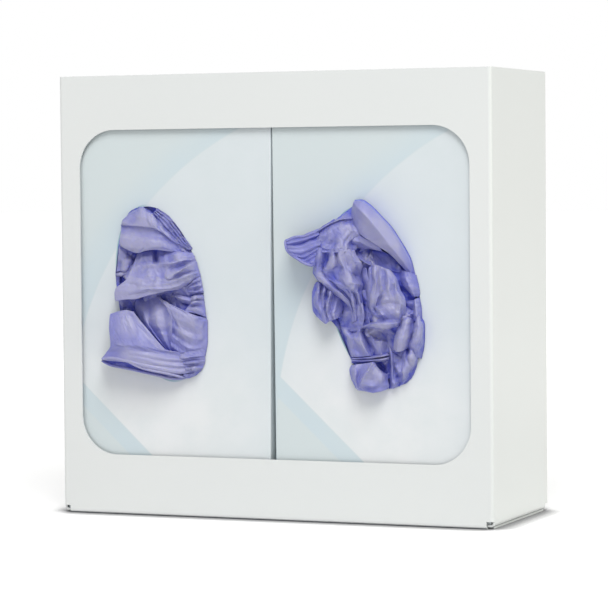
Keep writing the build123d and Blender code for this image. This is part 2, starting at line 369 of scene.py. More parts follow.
def carton_finish(side):
    """Coated board with the plain banded print, a painted pool of light low in its middle, and the line around the
    opening.
    """
    board = Finish(side + " carton board")
    edge_x = carton_edge[side]
    field = (0.70, 0.755, 0.78, 1.0)
    field_painted_light = (0.835, 0.842, 0.845, 1.0)
    outside = (0.645, 0.715, 0.728, 1.0)
    band = (0.60, 0.70, 0.745, 1.0)
    rim = (0.20, 0.43, 0.50, 1.0)

    # Painted light: the field turns paler around a point low in the middle of the carton.
    painted_light_pool = board.ramp(
        beyond_circle(board, (58.0 * MM, 52.0 * MM, 0.0), edge_x), 20.0 * MM, 95.0 * MM, 0.75, 0.0
    )
    colour = board.blend(painted_light_pool, field, field_painted_light)
    inner = beyond_circle(board, wide_band_inner, edge_x)
    outer = beyond_circle(board, wide_band_outer, edge_x)
    below = beyond_line(board, narrow_band_point, narrow_band_normal, edge_x)
    past_wide = board.ramp(inner, -0.8 * MM, 0.8 * MM)
    past_narrow = board.ramp(below, -0.6 * MM, 0.6 * MM)
    colour = board.blend(board.maths("MAXIMUM", past_wide, past_narrow), colour, outside)
    wide = board.maths("MULTIPLY", past_wide, board.ramp(outer, -10.0 * MM, 9.0 * MM, 0.85, 0.0))
    low_edge = narrow_band_width
    narrow = board.maths(
        "MULTIPLY", past_narrow, board.ramp(below, low_edge - 0.8 * MM, low_edge + 0.8 * MM, 0.9, 0.0)
    )
    colour = board.blend(board.maths("MAXIMUM", wide, narrow), colour, band)
    print_grain = board.ramp(board.noise(40.0, 5.0, 0.6), 0.3, 0.75, 0.0, 0.35)
    colour = board.blend(print_grain, colour, outside)

    short, oval = oval_share(board, openings[side])
    line = board.maths("MULTIPLY", board.ramp(oval, 1.014, 1.03, 1.0, 0.0), board.ramp(short, -0.2, 0.25, 1.0, 0.0))
    colour = board.blend(board.maths("MULTIPLY", line, 0.7), colour, rim)

    fibres = board.bump(board.noise(1400.0, 3.0), 0.02, 0.25)
    waves = board.bump(board.noise(16.0, 1.0), 1.2, 0.16, under=fibres)
    board.feed(
        board.shader,
        {"Base Color": colour, "Roughness": board.ramp(board.noise(300.0), 0.3, 0.7, 0.38, 0.5), "Normal": waves},
    )
    return board.material


for side in openings:
    paint(side + "_carton", carton_finish(side))
    print(side, "carton is printed")

# %% [markdown]
# ## Nitrile film
#
# A disposable glove is a violet-blue rubber film about a tenth of a millimetre thick. It has a satin shine, and a
# little light passes into it and comes out again, so its shaded folds turn a strong blue instead of grey. Light and
# shade are also painted into its colour: the film is painted paler on its ridges and darker and bluer in its
# hollows, as a value that the surfaces below store at each of their points says. Wrinkles too small for the
# surfaces are a bump of flat facets of two sizes, as deep as a second value called `crumpled` says. A fine noise is
# the matt texture of the mould.

# %% Film finish
film = Finish("violet nitrile film")
# The pale colour serves both a random paler tone and painted light on ridges; the deep colour is painted shade in
# hollows.
film_pale_and_painted_light = (0.385, 0.38, 0.62, 1.0)
film_plain = (0.205, 0.214, 0.57, 1.0)
film_painted_shade = (0.10, 0.12, 0.60, 1.0)
# Painted light and shade: paler on ridges, darker and bluer in hollows, from the stored value read here.
painted_light_level = film.add("Attribute", attribute_name="painted_light_level").outputs["Fac"]
film_tone = film.blend(film.ramp(film.noise(55.0, 3.0), 0.3, 0.7, 0.0, 0.3), film_plain, film_pale_and_painted_light)
film_tone = film.blend(film.ramp(painted_light_level, 0.5, 1.0, 0.0, 0.8), film_tone, film_pale_and_painted_light)
film_tone = film.blend(film.ramp(painted_light_level, 0.5, 0.0, 0.0, 1.0), film_tone, film_painted_shade)
crumpled = film.add("Attribute", attribute_name="crumpled").outputs["Fac"]


def facets(per_metre, bend, stretch):
    """Small pyramids with flat sides: the distance to the nearest of many random points, measured along the axes."""
    bent = film.add("TexNoise", {"Vector": film.place, "Scale": per_metre * 0.4, "Detail": 1.0}).outputs["Color"]
    moved = film.add("VectorMath", {0: bent, 3: bend * MM}, operation="SCALE").outputs[0]
    turned = film.add("VectorRotate", {"Vector": film.place, "Angle": 0.7, "Axis": (0.3, 1.0, 0.5)}).outputs[0]
    drawn = film.add("VectorMath", {0: turned, 1: stretch}, operation="MULTIPLY").outputs[0]
    place = film.add("VectorMath", {0: drawn, 1: moved}, operation="ADD").outputs[0]
    return film.add("TexVoronoi", {"Vector": place, "Scale": per_metre}, distance="CHEBYCHEV").outputs["Distance"]


mould = film.bump(film.noise(2200.0, 2.0), 0.02, 0.3)
small_facets = film.bump(facets(460.0, 1.2, (1.2, 1.0, 0.55)), 0.5, crumpled, under=mould)
soft_bumps = film.bump(facets(210.0, 2.5, (0.55, 1.0, 1.1)), 0.6, crumpled, under=small_facets)
film.feed(
    film.shader,
    {
        "Base Color": film_tone,
        "Roughness": film.ramp(film.noise(400.0), 0.3, 0.7, 0.36, 0.5),
        "Normal": soft_bumps,
        "Specular IOR Level": 0.5,
        "Sheen Weight": 0.15,
        "Sheen Roughness": 0.4,
        "Subsurface Weight": 0.35,
        "Subsurface Radius": (0.4, 0.45, 1.8),
        "Subsurface Scale": 0.001,
    },
)

# %% [markdown]
# ## Surfaces from curves
#
# A fold of film is a surface through a few curves that run along its ridges and valleys. Each curve is drawn as a
# few view points with a height in millimetres in front of the carton: (x, y, height). Two steps make the surface.
# First each curve is sampled smoothly. Then the samples are joined across the curves, partly by straight lines,
# which leaves a crease at every curve, and partly smoothly, which rounds the film between them. The share of each
# is the fold's `crisp` value.


# %% Curves and surfaces on whole arrays
def smooth_through(knots, places, at):
    """Cubic Hermite curve through places at the given knots, with the slope between the neighbours as tangent.

    With t from 0 to 1 between two knots a step h apart, a point is the sum of the two places and the two slopes,
    weighted by 2t^3-3t^2+1, 3t^2-2t^3, h(t^3-2t^2+t) and h(t^3-t^2).
    """
    step = np.diff(knots)
    slope = np.gradient(places, knots, axis=0) if len(knots) > 2 else np.repeat(
        (np.diff(places, axis=0) / step[0]), 2, axis=0
    )
    index = np.clip(np.searchsorted(knots, at, side="right") - 1, 0, len(step) - 1)
    shape = (-1,) + (1,) * (places.ndim - 1)
    h = step[index].reshape(shape)
    t = ((at - knots[index]) / step[index]).reshape(shape)
    return (
        (2 * t**3 - 3 * t**2 + 1) * places[index]
        + (3 * t**2 - 2 * t**3) * places[index + 1]
        + h * (t**3 - 2 * t**2 + t) * slope[index]
        + h * (t**3 - t**2) * slope[index + 1]
    )


def straight_through(knots, places, at):
    """Straight runs through places at the given knots."""
    index = np.clip(np.searchsorted(knots, at, side="right") - 1, 0, len(knots) - 2)
    shape = (-1,) + (1,) * (places.ndim - 1)
    t = ((at - knots[index]) / np.diff(knots)[index]).reshape(shape)
    return places[index] * (1 - t) + places[index + 1] * t


def run_length(places):
    """Distance run along the places, starting at 0."""
    return np.concatenate([[0.0], np.cumsum(np.linalg.norm(np.diff(places, axis=0), axis=1))])


def from_view(points):
    """Where the ray through each view point meets the plane that lies the point's height in front of the cartons."""
    points = np.asarray(points, float)
    ray = (
        view_forward * view_focus
        + view_right * (points[..., 0:1] - view_size / 2)
        - view_up * (points[..., 1:2] - view_size / 2)
    )
    reach = (carton_front - points[..., 2] * MM - view_place[1]) / ray[..., 1]
    return view_place + ray * reach[..., None]


def to_view(places):
    """View points of places, and their height in front of the cartons in millimetres."""
    away = places - view_place
    scale = view_focus / (away @ view_forward)
    x = view_size / 2 + (away @ view_right) * scale
    y = view_size / 2 - (away @ view_up) * scale
    return x, y, (carton_front - places[..., 1]) / MM


film_spacing = 0.55 * MM


def surface_through(rows, crisp, kinked):
    """Grid of view points through the rows, between kinked and smooth along them and crisp and smooth across them.

    Rows with the same number of points are matched point by point, and others by their length.
    """
    matched = len({len(row) for row in rows}) == 1
    lengths = [run_length(from_view(row))[-1] for row in rows]
    wide = max(6, int(max(lengths) / film_spacing) + 1)
    share = np.linspace(0.0, 1.0, wide)
    curves = []
    for row in rows:
        row = np.array(row, float)
        knots = np.arange(len(row)) if matched else run_length(row)
        knots = knots / knots[-1]
        curves.append(kinked * straight_through(knots, row, share) + (1 - kinked) * smooth_through(knots, row, share))
    curves = np.array(curves)
    gaps = np.linalg.norm(np.diff(from_view(curves), axis=0), axis=2).max(axis=1)
    knots = np.concatenate([[0.0], np.cumsum(np.maximum(gaps, 0.2 * MM))])
    tall = max(6, int(knots[-1] / film_spacing) + 1)
    at = np.linspace(0.0, knots[-1], tall)
    return crisp * straight_through(knots, curves, at) + (1 - crisp) * smooth_through(knots, curves, at)


# %% [markdown]
# ## Edges that turn in
#
# The edge of a fold is never a cut in the air: the film rolls over and runs back into the carton. So every side of
# a surface gets a few more rows that turn over a small radius and then go straight back, further where the fold
# stands further out. Seen from the side, these rows are flat skirts.

# %% Turned-in edges
edge_roll = ((0.35, 0.15), (0.6, 0.55), (0.7, 1.2), (0.6, 2.1), (0.3, 3.2))
edge_depth_share = 0.45


def turned_in(grid):
    """The grid with rolled rows added on all four sides: each goes outwards by the first value, in view points,
    and back by the second, in millimetres, which grows with the height of the edge. The corners only go back."""
    rolls = len(edge_roll)
    for turn in range(4):
        edge, inner = grid[-1], grid[-3]
        outwards = edge - inner
        outwards[:, 2] = 0.0
        outwards /= np.linalg.norm(outwards, axis=1, keepdims=True) + 0.05
        if turn % 2:
            outwards[: rolls + 1] = 0.0
            outwards[-rolls - 1 :] = 0.0
        deeper = 1.0 + edge_depth_share * np.maximum(edge[:, 2], 0.0) / edge_roll[-1][1]
        rolled = []
        for out, back in edge_roll:
            row = edge + outwards * out
            row[:, 2] -= back * (deeper if back > 1.0 else 1.0)
            rolled.append(row)
        grid = np.concatenate([grid, np.array(rolled)])
        grid = grid[::-1].transpose(1, 0, 2) if turn < 3 else grid
    return grid


# %% [markdown]
# ## Crumples
#
# Thin film doesn't wave softly. It is pinched into short straight wrinkles that cross each other, with small flat
# facets between them. One pinch is made as a long thin tent: a ridge that falls off straight to both sides and to
# both ends, and bends once in its middle. Many tents of four sizes, up and down, are added up over the fold's own
# two directions. Most of them lie along the rows, because film that is pulled together wrinkles along its pull.


# %% Crumple height
pinches = ((8.0, 24.0), (5.0, 16.0), (3.2, 11.0), (2.1, 7.5))
pinch_cover = 1.5
pinch_slope = 0.55


def crumple_height(along, across, seed):
    """Sum of tents over two coordinates in metres, in millimetres high at full strength.

    With t along a tent and s square to it, less its bend k |t|, its height is the top height times
    (1 - 2|s| / width) (1 - 2|t| / length), and nothing where a factor is below 0.
    """
    random = np.random.default_rng(seed)
    along, across = np.broadcast_arrays(along / MM, across / MM)
    low = np.array([along.min(), across.min()])
    size = np.array([along.max(), across.max()]) - low
    height = np.zeros(along.shape)
    for width, length in pinches:
        count = int(math.ceil(pinch_cover * size[0] * size[1] / (width * length))) + 1
        middle = low + size * random.uniform(0.0, 1.0, (count, 2))
        along_rows = random.uniform(size=count) < 0.65
        turn = np.where(along_rows, random.normal(0.0, 0.4, count), random.uniform(0, 3.2, count))
        top = random.choice([-1.0, 1.0], count) * random.uniform(0.3, 1.0, count) * pinch_slope * width / 2
        bend = random.uniform(-0.3, 0.3, count)
        for (x, y), angle, high, bent in zip(middle, turn, top, bend):
            t = (along - x) * math.cos(angle) + (across - y) * math.sin(angle)
            s = (across - y) * math.cos(angle) - (along - x) * math.sin(angle) - bent * np.abs(t)
            tent = np.maximum(1.0 - 2.0 * np.abs(s) / width, 0.0) * np.maximum(1.0 - 2.0 * np.abs(t) / length, 0.0)
            height += high * tent
    return height


def own_directions(places):
    """Distance along and across a grid's rows, each taken as the mean over the grid, in metres."""
    along = np.linalg.norm(np.diff(places, axis=1), axis=2).mean(axis=0)
    across = np.linalg.norm(np.diff(places, axis=0), axis=2).mean(axis=1)
    along = np.concatenate([[0.0], np.cumsum(along)])
    across = np.concatenate([[0.0], np.cumsum(across)])
    return along[None, :], across[:, None]


def grid_normals(places):
    """Unit normal at each point of a grid, turned towards the front."""
    along = np.gradient(places, axis=1)
    across = np.gradient(places, axis=0)
    normal = np.cross(along, across)
    normal /= np.linalg.norm(normal, axis=2, keepdims=True) + 1e-12
    return normal if normal[..., 1].mean() < 0 else -normal


# %% [markdown]
# ## Film stays in front of the board
#
# Outside the oval the film lies on the carton, so nothing may sink into the board there. Inside the oval it may go
# back into the carton. The oval is the same one that the print uses.

# %% Film and opening
film_thickness = 0.25 * MM
board_gap = 0.5 * MM
open_share = 0.965
crumple_fade = 6.0


def opening_share(places, side):
    """1 on the opening's oval, less inside and more outside."""
    opening = openings[side]
    right = places[..., 0] - opening["middle"][0]
    up = places[..., 2] - opening["middle"][1]
    turned = opening["slant"]
    short = (right * math.cos(turned) + up * math.sin(turned)) / opening_half[0]
    long = (up * math.cos(turned) - right * math.sin(turned)) / opening_half[1]
    return np.hypot(short, long)


def kept_off_board(places, side):
    """Draws film outside the oval towards the main view's eye until it clears the board.

    It looks the same from there and from nowhere else, so film near the board is only right in the main view.
    """
    front = carton_front - board_gap
    low = (opening_share(places, side) > open_share) & (places[..., 1] > front)
    reach = (front - view_place[1]) / (places[..., 1] - view_place[1])
    return np.where(low[..., None], view_place + (places - view_place) * reach[..., None], places)


# %% One fold of film
def fold(*rows, crisp, crumple, kinked=0.3):
    """A fold to be made: its curves, how sharp its creases are across and along them, and how crumpled its film is."""
    return {"rows": rows, "crisp": crisp, "crumple": crumple, "kinked": kinked}


def grid_faces(tall, wide, first=0):
    """Four corners of each cell of a grid, counted from the given first point."""
    index = np.arange(tall * wide).reshape(tall, wide) + first
    return np.stack([index[:-1, :-1], index[:-1, 1:], index[1:, 1:], index[1:, :-1]], axis=-1).reshape(-1, 4)


def film_fold(made, side, seed):
    """Points, faces and crumple height of one fold."""
    grid = turned_in(surface_through(made["rows"], made["crisp"], made["kinked"]))
    rolled = len(edge_roll)
    places = from_view(grid)
    height = crumple_height(*own_directions(places), seed) * made["crumple"]
    rows, columns = np.indices(height.shape)
    border = np.minimum.reduce([rows, columns, height.shape[0] - 1 - rows, height.shape[1] - 1 - columns]) - rolled
    height *= np.clip((border + 1) / crumple_fade, 0.0, 1.0)
    places = places + grid_normals(places) * (height * MM)[..., None]
    places = kept_off_board(places, side)
    faces = grid_faces(*height.shape)
    normal = np.cross(
        places.reshape(-1, 3)[faces[:, 1]] - places.reshape(-1, 3)[faces[:, 0]],
        places.reshape(-1, 3)[faces[:, 3]] - places.reshape(-1, 3)[faces[:, 0]],
    )
    if normal[:, 1].sum() > 0:
        faces = faces[:, ::-1]
    crumpled_share = np.full(height.size, min(1.5 * made["crumple"], 1.0))
    return places.reshape(-1, 3), faces, np.column_stack([height.ravel(), crumpled_share])


# %% Rolled rim and throat
rim_radius = 0.55 * MM
rim_sides = 8


def rolled_rim(points, side):
    """Bead along a curve of view points: a circle carried along it, closed to a point at each end."""
    row = np.array(points, float)
    knots = run_length(row)
    count = int(run_length(from_view(row))[-1] / film_spacing) + 1
    line = from_view(smooth_through(knots, row, np.linspace(0.0, knots[-1], count)))
    run = np.gradient(line, axis=0)
    run /= np.linalg.norm(run, axis=1, keepdims=True)
    first = np.cross(run, [0.0, -1.0, 0.0])
    first /= np.linalg.norm(first, axis=1, keepdims=True)
    second = np.cross(first, run)
    turn = np.linspace(0.0, 2 * math.pi, rim_sides + 1)[None, :, None]
    taper = np.sqrt(np.clip(np.minimum(np.arange(count), np.arange(count)[::-1]) / 3.0, 0.0, 1.0))[:, None, None]
    places = line[:, None] + rim_radius * taper * (first[:, None] * np.cos(turn) + second[:, None] * np.sin(turn))
    faces = grid_faces(count, rim_sides + 1)
    return places.reshape(-1, 3), faces, np.tile([0.4, 0.0], (places.shape[0] * places.shape[1], 1))


def triangle_wave(phase):
    """Straight up from -1 to 1 and straight down again, once in each whole number."""
    return 1.0 - 4.0 * np.abs(phase - np.floor(phase + 0.5))


throat_front = 1.4 * MM
throat_depth = 3.6 * MM


def throat_film(side, seed):
    """Dish of pleated film that closes the oval behind the folds: deeper in its middle, with pleats that run in."""
    opening = openings[side]
    radius = np.linspace(0.02, 1.05, 74)[:, None]
    turn = np.linspace(0.0, 2 * math.pi, 181)[None, :]
    short = opening_half[0] * radius * np.cos(turn)
    long = opening_half[1] * radius * np.sin(turn)
    slant = opening["slant"]
    x = opening["middle"][0] + short * math.cos(slant) - long * math.sin(slant)
    z = opening["middle"][1] + short * math.sin(slant) + long * math.cos(slant)
    pleat = triangle_wave(turn * 14 / (2 * math.pi) + 0.8 * np.sin(3 * turn) * radius)
    crumple = crumple_height(x, z, seed)
    level = throat_front + throat_depth * np.sqrt(np.clip(1 - radius**2, 0, 1))
    inner = np.clip((1.0 - radius) * 6.0, 0.0, 1.0)
    y = carton_front + level + (0.5 * pleat + 0.5 * crumple) * inner * MM
    places = np.stack([x, y, z], axis=-1)
    places[:, -1] = places[:, 0]
    faces = grid_faces(*x.shape)[:, ::-1]
    return places.reshape(-1, 3), faces, np.column_stack([-crumple.ravel(), np.full(crumple.size, 0.5)])


# %% [markdown]
# ## Painted light and shade of the film
#
# Light that reaches the film between two folds has already passed through film or come back from it, so it is
# darker and bluer there than on the ridges. This is painted into the film's colour: painted shade in the hollows and
# painted light on the ridges. How deep a point lies is worked out once for a whole glove. The frontmost film is
# drawn into a small map, as heights over the view, the map is blurred, and the point's own height is held against
# it. The map is drawn in the main view, so the painted hollows are right for that view only. Each glove also has its
# own overall tone: the left one is set paler.


# %% Painted light and shade of a glove
map_cells = 2
map_blur = 9
glove_paleness = {"left": 0.54, "right": 0.41}
painted_light_height = 9.0
painted_light_low, painted_light_high = -0.36, 0.5
crumple_tone = 0.22
empty_height = -99.0


def blurred(picture):
    """Mean over a square of cells around each cell, by differences of a running sum in both directions."""
    for axis in (0, 1):
        width = [(map_blur + 1, map_blur) if a == axis else (0, 0) for a in (0, 1)]
        total = np.cumsum(np.pad(picture, width), axis=axis)
        whole = total.shape[axis]
        upper = np.take(total, np.arange(2 * map_blur + 1, whole), axis=axis)
        picture = (upper - np.take(total, np.arange(0, whole - 2 * map_blur - 1), axis=axis)) / (2 * map_blur + 1)
    return picture


def painted_light_values(side, points, values):
    """The values, with the first one made to run from 0 in deep hollows to 1 on ridges, as painted shade and painted
    light.

    It is the glove's own tone, plus the height over the blurred map, plus a share of the crumple's own height.
    """
    x, y, out = to_view(points)
    column = np.clip((x * map_cells).astype(int), 0, view_size * map_cells - 1)
    row = np.clip((y * map_cells).astype(int), 0, view_size * map_cells - 1)
    front = np.full((view_size * map_cells,) * 2, empty_height)
    np.maximum.at(front, (row, column), out)
    filled = (front > empty_height + 9.0).astype(float)
    mean = blurred(blurred(front * filled)) / np.maximum(blurred(blurred(filled)), 1e-6)
    above = np.clip((out - mean[row, column]) / painted_light_height, painted_light_low, painted_light_high)
    painted_light_level = glove_paleness[side] + above + crumple_tone * values[:, 0]
    return np.column_stack([np.clip(painted_light_level, 0.0, 1.0), values[:, 1]])


# %% [markdown]
# ## The left glove
#
# The left glove was pulled halfway: its palm folds over itself in long soft rolls from the upper left to the
# right, and the cuff hangs out at the lower left with its rolled rim towards the eye. Each fold below is named for
# what it is on the glove, and its rows run from left to right in the main view unless the fold stands upright.

